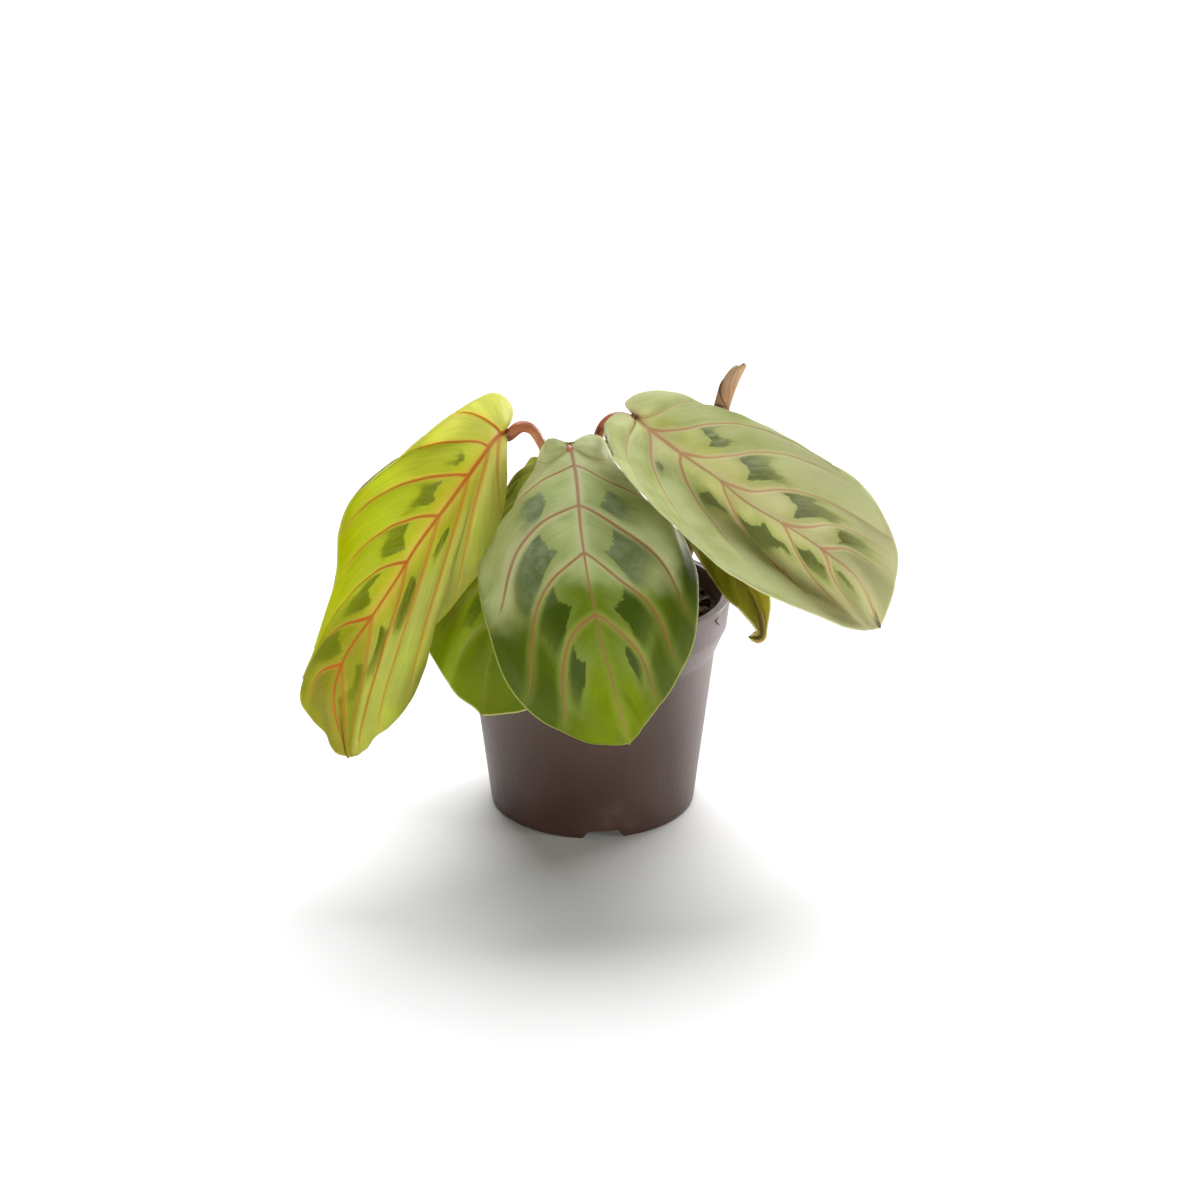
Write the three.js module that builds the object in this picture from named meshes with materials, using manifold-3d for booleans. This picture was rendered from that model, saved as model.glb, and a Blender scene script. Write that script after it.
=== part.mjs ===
// A young red-veined prayer plant in a round plastic nursery pot: five leaves that droop over the
// rim, the shoots that carry them and one dry, tightly rolled leaf, all standing in potting soil.
// Millimetres, +Z up. The origin is the middle of the pot's underside, and -Y is the front.
import * as THREE from "three";
import { mergeVertices } from "three/addons/utils/BufferGeometryUtils.js";
import Module from "manifold-3d";

const wasm = await Module();
wasm.setup();

// Driving dimensions

const gap = 0.3; // between pieces that touch on the real plant

const pot = {
  height: 49,
  rimRadius: 30,
  lipWidth: 2,
  lipHeight: 1.1,
  shoulderTop: 42, // the collar's straight part ends here, and its slanted shoulder below that
  shoulderTopRadius: 29.3,
  shoulderFoot: 36.5,
  shoulderFootRadius: 26.8,
  baseRadius: 22.8,
  baseRound: 0.7,
  lipDraw: 0.1, // how far the rim narrows from the lip's foot up
  lipFoot: 0.5, // height of the lip's rounded edge
  lipRound: 0.4,
  lipChamfer: 0.3,
  lipBack: 0.8, // the slope from the lip's underside to the wall
  wall: 0.9,
  floor: 1.2,
  sides: 60,
};

const channels = {
  // raised channels in the underside, each with a drain hole, that end as notches in the edge
  count: 3,
  turn: -84, // degrees round from +X to the first one, which shows at the front
  width: 9,
  slant: 1.2, // how much narrower the channel's top is, on each side
  height: 2,
  start: 7, // from the pot's axis
  holeRadius: 2,
  holeAt: 15,
  holeSides: 16,
  under: 1, // the cut starts this far below the underside
};

const soil = {
  level: 44.4,
  bottom: 3.6,
  relief: 0.7,
  rings: 9,
  clearance: gap + 0.05, // to the pot's inner wall
  shoulderClearance: gap + 0.15, // the same where the wall turns
  waves: [
    // share of the relief, then the sine's pitch along x and y, in radians a millimetre
    { share: 0.4, across: [0.31, 0.12], over: [0.1, 0.27] },
    { share: 0.35, across: [0.83, -0.52], over: [0.44, 0.71] },
    { share: 0.25, across: [1.9, 0.7], over: [-0.9, 1.7] },
  ],
};

const stem = {
  foot: 30, // the stems' lower ends, in the soil
  top: 49,
  splitDepth: 5, // the petioles begin this far below the top
  radius: 2.1,
  topShare: 0.75, // the radius at the top, as a share of the foot's
  topTaper: 4, // power by which it narrows
  sides: 10,
  step: 2.6,
  holeMargin: 5, // the hole in the soil is cut this far past the soil's level
};

const petiole = {
  footRadius: 1.6,
  radius: 1.05,
  jointRadius: 1.2, // the swollen joint below each blade
  jointLength: 7,
  jointRoundness: 0.7,
  footTaper: 3, // power by which the foot's extra thickness fades along the stalk
  trim: 1.6 * gap, // more than the gap, because a stalk is trimmed in single directions
};

const blade = {
  thickness: 0.7,
  rows: 34,
  rowCrowding: 0.62, // power that puts the rows closer at the base, where the margin turns most
  halfColumns: 5,
  bulge: 0.12, // how far each half rises between midrib and margin, as a share of its width
  veinSweep: 2.6, // how soon the side veins' ends run forward along the margin
  veinOut: 0.8, // the side veins' bend, as a share of their reach sideways
  veinForward: 0.3, // the same, as a share of their reach forward
  veins: 8, // side veins on each half
  veinCrowding: 0.8, // power that puts the veins closer at the base
  pleat: 0.35, // depth of the soft pleats between the side veins
  pleatRoom: 10, // half width from which the pleats have their full depth
};

// Each leaf is three curves in space from its base to its tip, the midrib and the two margins. The
// margins leave out the base and the tip, which they share with the midrib.
const leaves = {
  leaf_left: {
    color: 0xa6b83a,
    midrib: [
      [-17.5, -7.5, 86.5],
      [-19.5, -13.5, 86.5],
      [-22.5, -21, 84],
      [-28, -29, 78],
      [-33.5, -36, 72],
      [-37.5, -41.5, 66.5],
      [-42.5, -44.5, 59.5],
      [-48, -47, 51.5],
      [-50, -48.5, 43],
      [-48, -47, 31],
    ],
    left: [
      [-16.5, -4, 89.5],
      [-18, -4.5, 92.5],
      [-21, -8.5, 94.5],
      [-25.5, -14, 93.5],
      [-33.5, -20, 89],
      [-42.5, -22.5, 81.5],
      [-48, -24, 77],
      [-50.5, -27, 70.5],
      [-51, -31.5, 62.5],
      [-54.5, -38, 51.5],
      [-57.5, -41, 41.5],
      [-53.5, -44, 36],
    ],
    right: [
      [-17.5, -9, 85],
      [-18, -13, 78.5],
      [-18, -18, 73.5],
      [-21.5, -26, 64.5],
      [-27, -33, 58.5],
      [-32.5, -39, 53.5],
      [-32.5, -42, 49.5],
      [-35, -46.5, 43.5],
      [-40, -50, 38.5],
      [-44, -49.5, 34.5],
    ],
  },
  leaf_front: {
    color: 0x7f9a45,
    midrib: [
      [-4.5, -12.5, 85],
      [-4, -15.5, 84],
      [-3, -24, 81],
      [-2, -38, 75],
      [-0.5, -49, 69],
      [1.5, -55.5, 61.5],
      [4.5, -57.5, 49.5],
      [7.5, -52, 36],
    ],
    left: [
      [-6.5, -10.5, 85],
      [-8.5, -9, 85],
      [-10, -8.5, 83.5],
      [-12, -10, 78.5],
      [-15, -16.5, 74.5],
      [-18.25, -24.4, 70.65],
      [-21.8, -32.7, 66.8],
      [-21.5, -42, 64],
      [-19.5, -52, 60],
      [-15.5, -58, 51],
      [-9.5, -59, 44.5],
      [-1, -56.5, 39],
    ],
    right: [
      [-2, -9.5, 85.5],
      [0, -7.5, 85.5],
      [2.5, -6.5, 84],
      [5.5, -8.5, 78.5],
      [10, -17.5, 75.5],
      [15.5, -26, 72.5],
      [19, -33, 69.5],
      [20.5, -44, 65],
      [19.5, -50.5, 57],
      [16, -52.5, 49.5],
      [11.5, -52.5, 42.5],
      [9, -52, 38.5],
    ],
  },
  leaf_right: {
    color: 0xa9b97c,
    midrib: [
      [8.5, -1, 88],
      [13, -8, 86],
      [19, -16, 83.5],
      [24.5, -23.5, 81.5],
      [30, -30, 78.5],
      [36.5, -35.5, 76],
      [44, -39, 72],
      [51.5, -40, 66],
      [57, -37.5, 54.5],
    ],
    left: [
      [5.5, -1.5, 88.5],
      [3, -8.5, 88.5],
      [3, -17.5, 88],
      [4.5, -27, 86],
      [10, -37.5, 82],
      [17, -44.5, 77],
      [24, -50, 72],
      [32.5, -51.5, 67],
      [43.5, -47.5, 61],
      [51.5, -41, 55.5],
    ],
    right: [
      [7, 3, 89.5],
      [11, 4.5, 91.5],
      [18, 1.5, 92],
      [25, -2.5, 90],
      [32.5, -7, 88.5],
      [40.5, -13.5, 86],
      [47.5, -20.5, 83.5],
      [53.5, -25.5, 80.5],
      [57, -30, 76.5],
      [60, -34, 69.5],
      [59.5, -36, 63],
      [58, -37.5, 58],
    ],
  },
  leaf_low: {
    color: 0x6d8a1e,
    midrib: [
      [-10.5, -5.5, 80],
      [-12.5, -11.5, 75],
      [-15.5, -19, 66.5],
      [-18, -27.5, 58],
      [-20.5, -34, 47.5],
      [-22.5, -34, 34],
    ],
    left: [
      [-12.5, -5, 80],
      [-14.5, -6.5, 77.5],
      [-17.5, -9, 75],
      [-21.5, -12.5, 67.5],
      [-26.5, -19, 59],
      [-32, -25, 52.5],
      [-33.5, -28, 47.5],
      [-31, -31, 43.5],
      [-27.5, -33, 38.5],
      [-24, -34, 36],
    ],
    right: [
      [-9, -6.5, 79.5],
      [-6.5, -14, 73.5],
      [-4.5, -23, 66],
      [-4, -31, 58],
      [-6, -35.5, 48],
      [-9, -36.5, 39.5],
      [-13, -36.5, 36.5],
      [-17.5, -35, 35],
    ],
  },
  leaf_young: {
    color: 0x7d7f1f,
    midrib: [
      [18.5, -3, 63.5],
      [22, -5, 61.5],
      [27.5, -8, 58.5],
      [32, -10, 54],
      [35, -11, 48.5],
      [36.3, -9.8, 43.6],
      [36, -9.2, 41.2],
      [33.4, -9, 41.2],
    ],
    left: [
      [19.5, -4, 62],
      [22, -6.5, 59.5],
      [24.5, -9, 56],
      [28.5, -12, 51],
      [31.5, -13, 48.5],
      [34.6, -11.6, 44.2],
      [35, -10.2, 42.8],
      [34.3, -9.4, 42.1],
    ],
    right: [
      [21, -3, 64.5],
      [27, -4, 62.5],
      [33, -6, 59],
      [37, -7, 53.5],
      [38, -8, 48.5],
      [37.5, -8.5, 44],
      [37.1, -8.8, 40.8],
      [35.6, -9, 39.8],
      [34.2, -9, 40.3],
    ],
  },
};

// A shoot is an upright stem in the soil with the petioles that spring from it. Each petiole's route
// runs from the stem through these points to its leaf's base.
const shoots = {
  shoot_left: {
    at: [-6, 1],
    petioles: {
      leaf_left: [
        [-6.5, 1.5, 60],
        [-7.5, 0.5, 72],
        [-9.4, -2, 79],
        [-10.4, -4, 82.5],
        [-12.4, -5.2, 86],
        [-14.8, -6, 86.9],
      ],
      leaf_low: [
        [-6.5, -0.5, 60],
        [-8, -1.5, 70],
        [-9.5, -3, 76],
      ],
    },
  },
  shoot_front: {
    at: [0, -4],
    petioles: {
      leaf_front: [
        [-1, -4, 58],
        [-3, -5.5, 70],
        [-4, -8, 79],
      ],
    },
  },
  shoot_right: {
    at: [8, 2],
    petioles: {
      leaf_right: [
        [5.5, 2, 60],
        [2.5, 1, 72],
        [1.2, 0.2, 81],
        [2.3, 0, 85.4],
        [5.2, -0.5, 87.3],
      ],
      leaf_young: [
        [10, 1, 54],
        [14.5, -1, 60],
      ],
    },
  },
};

const rolledLeaf = {
  // the dry leaf, still furled, at the right
  route: [
    [17.8, 0.5, 30],
    [18, 0.5, 46],
    [21, 0.3, 59],
    [23.2, 0, 69],
    [25.5, 0, 81],
    [27.2, 0, 89.5],
    [28.8, 0, 95],
    [30.6, 0, 99],
  ],
  footRadius: 1,
  radius: 1.75,
  overlap: 0.3, // how far the outer edge stands off the roll, as a share of the radius
  sides: 14,
  step: 3,
  tipLength: 4,
  tipShare: 0.3, // the radius at the very tip, as a share of the roll's
  swell: [0.25, 0.8], // the roll widens between these shares of its length
  holeMargin: 0.4, // extra radius of its hole in the soil
};

// Geometry helpers

function curveThrough(points) {
  const vectors = points.map((p) => new THREE.Vector3(...p));
  return new THREE.CatmullRomCurve3(vectors, false, "catmullrom", 0.5);
}

function geometryOf(positions, triangles) {
  const geometry = new THREE.BufferGeometry();
  const flat = new Float32Array(positions.flatMap((p) => [p.x, p.y, p.z]));
  geometry.setAttribute("position", new THREE.BufferAttribute(flat, 3));
  geometry.setIndex(triangles);
  return geometry;
}

function solidFrom(geometry) {
  const bare = geometry.clone();
  bare.deleteAttribute("normal");
  bare.deleteAttribute("uv");
  const merged = mergeVertices(bare, 1e-4);
  return new wasm.Manifold(
    new wasm.Mesh({
      numProp: 3,
      vertProperties: merged.attributes.position.array,
      triVerts: new Uint32Array(merged.index.array),
    }),
  );
}

function geometryFrom(solid) {
  const mesh = solid.getMesh();
  const geometry = new THREE.BufferGeometry();
  geometry.setAttribute("position", new THREE.BufferAttribute(mesh.vertProperties, 3));
  geometry.setIndex(new THREE.BufferAttribute(mesh.triVerts, 1));
  return geometry;
}

// The biggest body of a solid, for a cut that leaves a crumb on the far side.
function mainBody(solid) {
  return solid.decompose().reduce((a, b) => (b.volume() > a.volume() ? b : a));
}

// A solid of revolution round +Z from [radius, z] points that start and end on the axis.
function turned(profile, sides) {
  const points = profile.map(([radius, z]) => new THREE.Vector2(radius, z));
  return new THREE.LatheGeometry(points, sides).rotateX(Math.PI / 2);
}

function uprightCylinder(radius, from, to, x, y, sides) {
  return new THREE.CylinderGeometry(radius, radius, to - from, sides)
    .rotateX(Math.PI / 2)
    .translate(x, y, (from + to) / 2);
}

// A closed tube of rings along a curve. sectionAt(distance, length, angle) gives each ring's radius.
function tube(curve, step, sides, sectionAt) {
  const length = curve.getLength();
  const steps = Math.ceil(length / step);
  const frames = curve.computeFrenetFrames(steps, false);
  const positions = [];
  const triangles = [];
  for (let i = 0; i <= steps; i++) {
    const centre = curve.getPointAt(i / steps);
    for (let j = 0; j < sides; j++) {
      const angle = (2 * Math.PI * j) / sides;
      const radius = sectionAt((length * i) / steps, length, angle);
      positions.push(
        centre
          .clone()
          .addScaledVector(frames.normals[i], radius * Math.cos(angle))
          .addScaledVector(frames.binormals[i], radius * Math.sin(angle)),
      );
    }
  }
  const first = positions.push(curve.getPointAt(0)) - 1;
  const last = positions.push(curve.getPointAt(1)) - 1;
  const top = steps * sides;
  for (let j = 0; j < sides; j++) {
    const next = (j + 1) % sides;
    for (let i = 0; i < steps; i++) {
      const a = i * sides + j;
      const b = i * sides + next;
      triangles.push(a, b, b + sides, a, b + sides, a + sides);
    }
    triangles.push(first, next, j, last, top + j, top + next);
  }
  return geometryOf(positions, triangles);
}

// Pot

function channelGeometry(width, height, slant, start, end) {
  const section = new THREE.Shape();
  section.moveTo(-width / 2, -channels.under);
  section.lineTo(width / 2, -channels.under);
  section.lineTo(width / 2, 0);
  section.lineTo(width / 2 - slant, height);
  section.lineTo(-width / 2 + slant, height);
  section.lineTo(-width / 2, 0);
  const options = { depth: end - start, bevelEnabled: false };
  // the section's x runs to +Y, its y to +Z, and it is drawn out along +X
  const stand = new THREE.Matrix4().makeBasis(
    new THREE.Vector3(0, 1, 0),
    new THREE.Vector3(0, 0, 1),
    new THREE.Vector3(1, 0, 0),
  );
  return new THREE.ExtrudeGeometry(section, options).applyMatrix4(stand).translate(start, 0, 0);
}

// Radius of the inside wall at a height.
function innerRadius(z) {
  const upper = z > pot.shoulderFoot;
  const [z0, r0] = upper
    ? [pot.shoulderFoot, pot.shoulderFootRadius]
    : [0, pot.baseRadius];
  const [z1, r1] = upper
    ? [pot.shoulderTop, pot.shoulderTopRadius]
    : [pot.shoulderFoot, pot.shoulderFootRadius];
  return r0 + ((r1 - r0) * Math.min(z - z0, z1 - z0)) / (z1 - z0) - pot.wall;
}

function potOutside() {
  return [
    [0, 0],
    [pot.baseRadius - pot.baseRound, 0],
    [pot.baseRadius, pot.baseRound],
    [pot.shoulderFootRadius, pot.shoulderFoot],
    [pot.shoulderTopRadius, pot.shoulderTop],
    [pot.rimRadius - pot.lipDraw, pot.height - pot.lipFoot],
    [pot.rimRadius - pot.lipRound, pot.height],
  ];
}

function potGeometry() {
  const outside = potOutside();
  const lipRadius = pot.rimRadius - pot.lipWidth;
  const underLip = pot.height - pot.lipHeight;
  const inside = [
    [lipRadius + pot.lipChamfer, pot.height],
    [lipRadius, pot.height - pot.lipChamfer],
    [lipRadius, underLip],
    [pot.rimRadius - pot.wall - 2 * pot.lipDraw, underLip - pot.lipBack],
    [innerRadius(pot.shoulderTop), pot.shoulderTop],
    [innerRadius(pot.shoulderFoot), pot.shoulderFoot],
    [innerRadius(pot.floor), pot.floor],
    [0, pot.floor],
  ];
  let body = solidFrom(turned([...outside, ...inside], pot.sides));
  const whole = solidFrom(turned([...outside, [0, pot.height]], pot.sides));
  for (let i = 0; i < channels.count; i++) {
    const turn = THREE.MathUtils.degToRad(channels.turn + (360 / channels.count) * i);
    const { width, height, slant, start, holeRadius, holeAt, holeSides } = channels;
    const roof = channelGeometry(
      width + 2 * pot.wall,
      height + pot.wall,
      slant,
      start - pot.wall,
      pot.rimRadius,
    );
    const cut = channelGeometry(width, height, slant, start, pot.rimRadius);
    const through = height + 2 * pot.wall;
    const hole = uprightCylinder(holeRadius, -pot.wall, through, holeAt, 0, holeSides);
    body = body.add(solidFrom(roof.rotateZ(turn)).intersect(whole));
    body = body.subtract(solidFrom(cut.rotateZ(turn)));
    body = body.subtract(solidFrom(hole.rotateZ(turn)));
  }
  return geometryFrom(body);
}

// Soil

// Height of the crumbly surface above its level: crossing waves that share no period.
function soilRelief(x, y) {
  const heights = soil.waves.map(({ share, across, over }) => {
    const first = Math.sin(across[0] * x + across[1] * y);
    const second = Math.cos(over[0] * x + over[1] * y);
    return share * first * second;
  });
  return soil.relief * heights.reduce((a, b) => a + b);
}

function soilGeometry() {
  const edge = innerRadius(soil.level) - soil.clearance;
  const ringStep = edge / soil.rings;
  const surface = [];
  for (let i = soil.rings; i >= 0; i--) surface.push([ringStep * i, soil.level]);
  const profile = [
    [0, soil.bottom],
    [innerRadius(soil.bottom) - soil.clearance, soil.bottom],
    [innerRadius(pot.shoulderFoot) - soil.clearance, pot.shoulderFoot],
    [innerRadius(pot.shoulderTop) - soil.shoulderClearance, pot.shoulderTop],
    ...surface,
  ];
  const geometry = turned(profile, pot.sides);
  const place = geometry.attributes.position;
  for (let i = 0; i < place.count; i++) {
    const onTop = place.getZ(i) > pot.shoulderTop;
    if (onTop) place.setZ(i, soil.level + soilRelief(place.getX(i), place.getY(i)));
  }
  let body = solidFrom(geometry);
  for (const { at } of Object.values(shoots)) body = body.subtract(stemHole(at, stem.radius));
  const rollHole = stemHole(rolledLeaf.route[0], rolledLeaf.footRadius + rolledLeaf.holeMargin);
  body = body.subtract(rollHole);
  return geometryFrom(body);
}

function stemHole([x, y], radius) {
  const top = soil.level + stem.holeMargin;
  return solidFrom(uprightCylinder(radius + gap, stem.foot - gap, top, x, y, stem.sides * 2));
}

// Blades

function leafCurves(leaf) {
  const base = leaf.midrib[0];
  const tip = leaf.midrib.at(-1);
  return {
    midrib: curveThrough(leaf.midrib),
    left: curveThrough([base, ...leaf.left, tip]),
    right: curveThrough([base, ...leaf.right, tip]),
  };
}

// A point of a leaf's middle surface. along is 0 at the base and 1 at the tip; across is -1 at the
// left margin, 0 on the midrib and 1 at the right margin. A line of equal along runs as the side
// veins do, out of the midrib and then forward to the margin.
function bladePoint(curves, along, across) {
  const side = Math.sign(across) || 1;
  const margin = side < 0 ? curves.left : curves.right;
  const start = curves.midrib.getPointAt(along);
  const end = margin.getPointAt(1 - (1 - along) ** blade.veinSweep);
  const forward = curves.midrib.getTangentAt(along);
  const reach = end.clone().sub(start);
  const run = reach.dot(forward);
  const out = reach.clone().addScaledVector(forward, -run);
  const up = forward.clone().cross(out).multiplyScalar(side);
  const bend = start
    .clone()
    .addScaledVector(out, blade.veinOut)
    .addScaledVector(forward, run * blade.veinForward)
    .addScaledVector(up, 2 * blade.bulge);
  const pleats = Math.cos(2 * Math.PI * blade.veins * along ** blade.veinCrowding);
  const room = Math.min(1, out.length() / blade.pleatRoom);
  const fade = Math.sin(Math.PI * Math.abs(across)) * room;
  return new THREE.QuadraticBezierCurve3(start, bend, end)
    .getPoint(Math.abs(across))
    .addScaledVector(up.normalize(), (-blade.pleat * pleats * fade) / 2);
}

function bladeGeometry(leaf, thickness) {
  const curves = leafCurves(leaf);
  const { rows, halfColumns } = blade;
  const columns = 2 * halfColumns;
  const grid = [];
  for (let i = 0; i <= rows; i++) {
    const along = 1 - (1 - i / rows) ** blade.rowCrowding;
    const row = [];
    for (let j = 0; j <= columns; j++) row.push(bladePoint(curves, along, j / halfColumns - 1));
    grid.push(row);
  }
  // the base and the tip are single points, so the rows next to them look away from them
  const normalAt = (i, j) => {
    const [before, after] = [Math.max(i - 1, 1), Math.min(i + 1, rows - 1)];
    const forward = grid[after][j].clone().sub(grid[before][j]);
    const across = grid[i][Math.min(j + 1, columns)].clone().sub(grid[i][Math.max(j - 1, 0)]);
    return forward.cross(across).normalize();
  };
  const upper = [];
  const lower = [];
  const addPoint = (point, normal) => {
    upper.push(point.clone().addScaledVector(normal, thickness / 2));
    lower.push(point.clone().addScaledVector(normal, -thickness / 2));
    return upper.length - 1;
  };
  const base = addPoint(grid[0][halfColumns], normalAt(1, halfColumns));
  const index = [[]];
  for (let i = 1; i < rows; i++) index.push(grid[i].map((p, j) => addPoint(p, normalAt(i, j))));
  const tip = addPoint(grid[rows][halfColumns], normalAt(rows - 1, halfColumns));

  // triangles of the upper face; the lower face has the same ones, turned over
  const face = [];
  for (let j = 0; j < columns; j++) {
    face.push([base, index[1][j], index[1][j + 1]]);
    for (let i = 1; i < rows - 1; i++) {
      const [a, b] = [index[i][j], index[i][j + 1]];
      const [d, c] = [index[i + 1][j], index[i + 1][j + 1]];
      face.push([a, d, b], [b, d, c]);
    }
    face.push([tip, index[rows - 1][j + 1], index[rows - 1][j]]);
  }
  const count = upper.length;
  const triangles = [];
  for (const [a, b, c] of face) triangles.push(a, b, c, a + count, c + count, b + count);
  const inner = index.slice(1);
  const edge = [base, ...inner.map((r) => r[0]), tip, ...inner.map((r) => r[columns]).reverse()];
  edge.forEach((a, i) => {
    const b = edge[(i + 1) % edge.length];
    triangles.push(a, a + count, b + count, a, b + count, b);
  });
  return geometryOf([...upper, ...lower], triangles);
}

// Shoots

function petioleRadius(distance, length) {
  const fromTop = length - distance;
  const fromFoot = Math.max(0, 1 - distance / length) ** petiole.footTaper;
  const taper = (petiole.footRadius - petiole.radius) * fromFoot;
  const inJoint = Math.min(1, fromTop / petiole.jointLength);
  const swell = Math.max(0, Math.sin(Math.PI * inJoint)) ** petiole.jointRoundness;
  return petiole.radius + taper + (petiole.jointRadius - petiole.radius) * swell;
}

// Trims a stalk to a clearance all round its blade: it is cut by the blade moved a little each way.
function clearOfBlade(stalk, leaf) {
  const solid = solidFrom(bladeGeometry(leaf, blade.thickness));
  const ways = new THREE.DodecahedronGeometry(petiole.trim);
  ways.deleteAttribute("normal");
  ways.deleteAttribute("uv");
  const corners = mergeVertices(ways).attributes.position;
  for (let i = 0; i < corners.count; i++) {
    const way = new THREE.Vector3().fromBufferAttribute(corners, i);
    for (const share of [0.5, 1]) {
      const shift = way.clone().multiplyScalar(share);
      stalk = stalk.subtract(solid.translate(shift.toArray()));
    }
  }
  return mainBody(stalk);
}

function shootGeometry(shoot) {
  const [x, y] = shoot.at;
  const stump = new THREE.CatmullRomCurve3([
    new THREE.Vector3(x, y, stem.foot),
    new THREE.Vector3(x, y, stem.top),
  ]);
  const stumpRadius = (distance, length) =>
    stem.radius * (1 - (1 - stem.topShare) * (distance / length) ** stem.topTaper);
  let body = solidFrom(tube(stump, stem.step, stem.sides, stumpRadius));
  for (const [name, route] of Object.entries(shoot.petioles)) {
    const leaf = leaves[name];
    const base = new THREE.Vector3(...leaf.midrib[0]);
    const last = new THREE.Vector3(...route.at(-1));
    // the stalk stops short of the blade, and a blade with room around it trims what its lobes cross
    const end = last.sub(base).setLength(blade.thickness / 2 + gap).add(base);
    const curve = curveThrough([[x, y, stem.top - stem.splitDepth], ...route, end.toArray()]);
    const stalk = solidFrom(tube(curve, stem.step, stem.sides, petioleRadius));
    body = body.add(clearOfBlade(stalk, leaf));
  }
  return geometryFrom(mainBody(body));
}

// Dry rolled leaf: a spiral section, whose outer edge makes a seam down its side.
function rolledLeafRadius(distance, length, angle) {
  const [from, to] = rolledLeaf.swell;
  const grow = THREE.MathUtils.smoothstep(distance, from * length, to * length);
  const body = THREE.MathUtils.lerp(rolledLeaf.footRadius, rolledLeaf.radius, grow);
  const fromTip = Math.min(1, (length - distance) / rolledLeaf.tipLength);
  const tip = THREE.MathUtils.lerp(rolledLeaf.tipShare, 1, Math.sqrt(fromTip));
  const spiral = 1 - (rolledLeaf.overlap * angle) / (2 * Math.PI);
  return body * tip * spiral;
}

// Assembly

function material(color, roughness) {
  return new THREE.MeshStandardMaterial({ color, roughness, metalness: 0 });
}

const plant = new THREE.Group();

function addMesh(parent, name, geometry, meshMaterial) {
  geometry.computeVertexNormals();
  const mesh = new THREE.Mesh(geometry, meshMaterial);
  mesh.name = name;
  parent.add(mesh);
}

addMesh(plant, "pot", potGeometry(), material(0x5c4742, 0.45));
addMesh(plant, "soil", soilGeometry(), material(0x1d1410, 0.95));

const shootGroup = new THREE.Group();
for (const [name, shoot] of Object.entries(shoots)) {
  addMesh(shootGroup, name, shootGeometry(shoot), material(0x8d4a34, 0.5));
}
plant.add(shootGroup);

const leafGroup = new THREE.Group();
for (const [name, leaf] of Object.entries(leaves)) {
  addMesh(leafGroup, name, bladeGeometry(leaf, blade.thickness), material(leaf.color, 0.4));
}
plant.add(leafGroup);

const roll = tube(
  curveThrough(rolledLeaf.route),
  rolledLeaf.step,
  rolledLeaf.sides,
  rolledLeafRadius,
);
addMesh(plant, "leaf_rolled_dry", roll, material(0xb58a5e, 0.7));

export default plant;
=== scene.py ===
import math
import random

import bpy
import numpy as np
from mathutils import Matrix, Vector, noise


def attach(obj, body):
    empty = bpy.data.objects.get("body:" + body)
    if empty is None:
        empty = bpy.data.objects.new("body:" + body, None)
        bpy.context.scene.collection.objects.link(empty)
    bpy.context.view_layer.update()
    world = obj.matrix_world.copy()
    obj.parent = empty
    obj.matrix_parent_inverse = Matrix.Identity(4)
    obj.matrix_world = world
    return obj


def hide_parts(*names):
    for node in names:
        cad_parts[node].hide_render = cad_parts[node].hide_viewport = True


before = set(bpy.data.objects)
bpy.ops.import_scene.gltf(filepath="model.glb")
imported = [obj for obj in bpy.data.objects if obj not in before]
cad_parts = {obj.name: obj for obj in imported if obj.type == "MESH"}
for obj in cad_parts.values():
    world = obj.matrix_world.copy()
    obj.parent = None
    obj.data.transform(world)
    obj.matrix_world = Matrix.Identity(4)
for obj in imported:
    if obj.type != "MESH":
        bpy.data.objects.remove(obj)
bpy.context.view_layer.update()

mm = 0.001  # lists below are in millimetres, Blender is in metres
bpy.context.scene.view_settings.view_transform = "Standard"


def deselectAll():
    if bpy.context.object and bpy.context.object.mode != "OBJECT":
        bpy.ops.object.mode_set(mode="OBJECT")
    bpy.ops.object.select_all(action="DESELECT")


def pick(piece):
    deselectAll()
    piece.select_set(True)
    bpy.context.view_layer.objects.active = piece


def named(name):
    piece = bpy.context.object
    piece.name = name
    piece.data.name = name
    return piece


def inEditMode(piece, work):
    pick(piece)
    bpy.ops.object.mode_set(mode="EDIT")
    bpy.ops.mesh.select_all(action="SELECT")
    work()
    bpy.ops.object.mode_set(mode="OBJECT")


def applyModifiers(piece):
    pick(piece)
    for modifier in list(piece.modifiers):
        bpy.ops.object.modifier_apply(modifier=modifier.name)


def applyPlace():
    bpy.ops.object.transform_apply(location=True, rotation=True, scale=True)


def joined(name, pieces):
    pick(pieces[0])
    for piece in pieces:
        piece.select_set(True)
    bpy.ops.object.join()
    return named(name)


def finishPiece(piece, material, replaced=()):
    if material:
        piece.data.materials.clear()
        piece.data.materials.append(material)
    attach(piece, "root")
    if replaced:
        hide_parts(*replaced)


def smoothStep(low, high, value):
    share = np.clip((value - low) / (high - low), 0, 1)
    return share * share * (3 - 2 * share)


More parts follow.
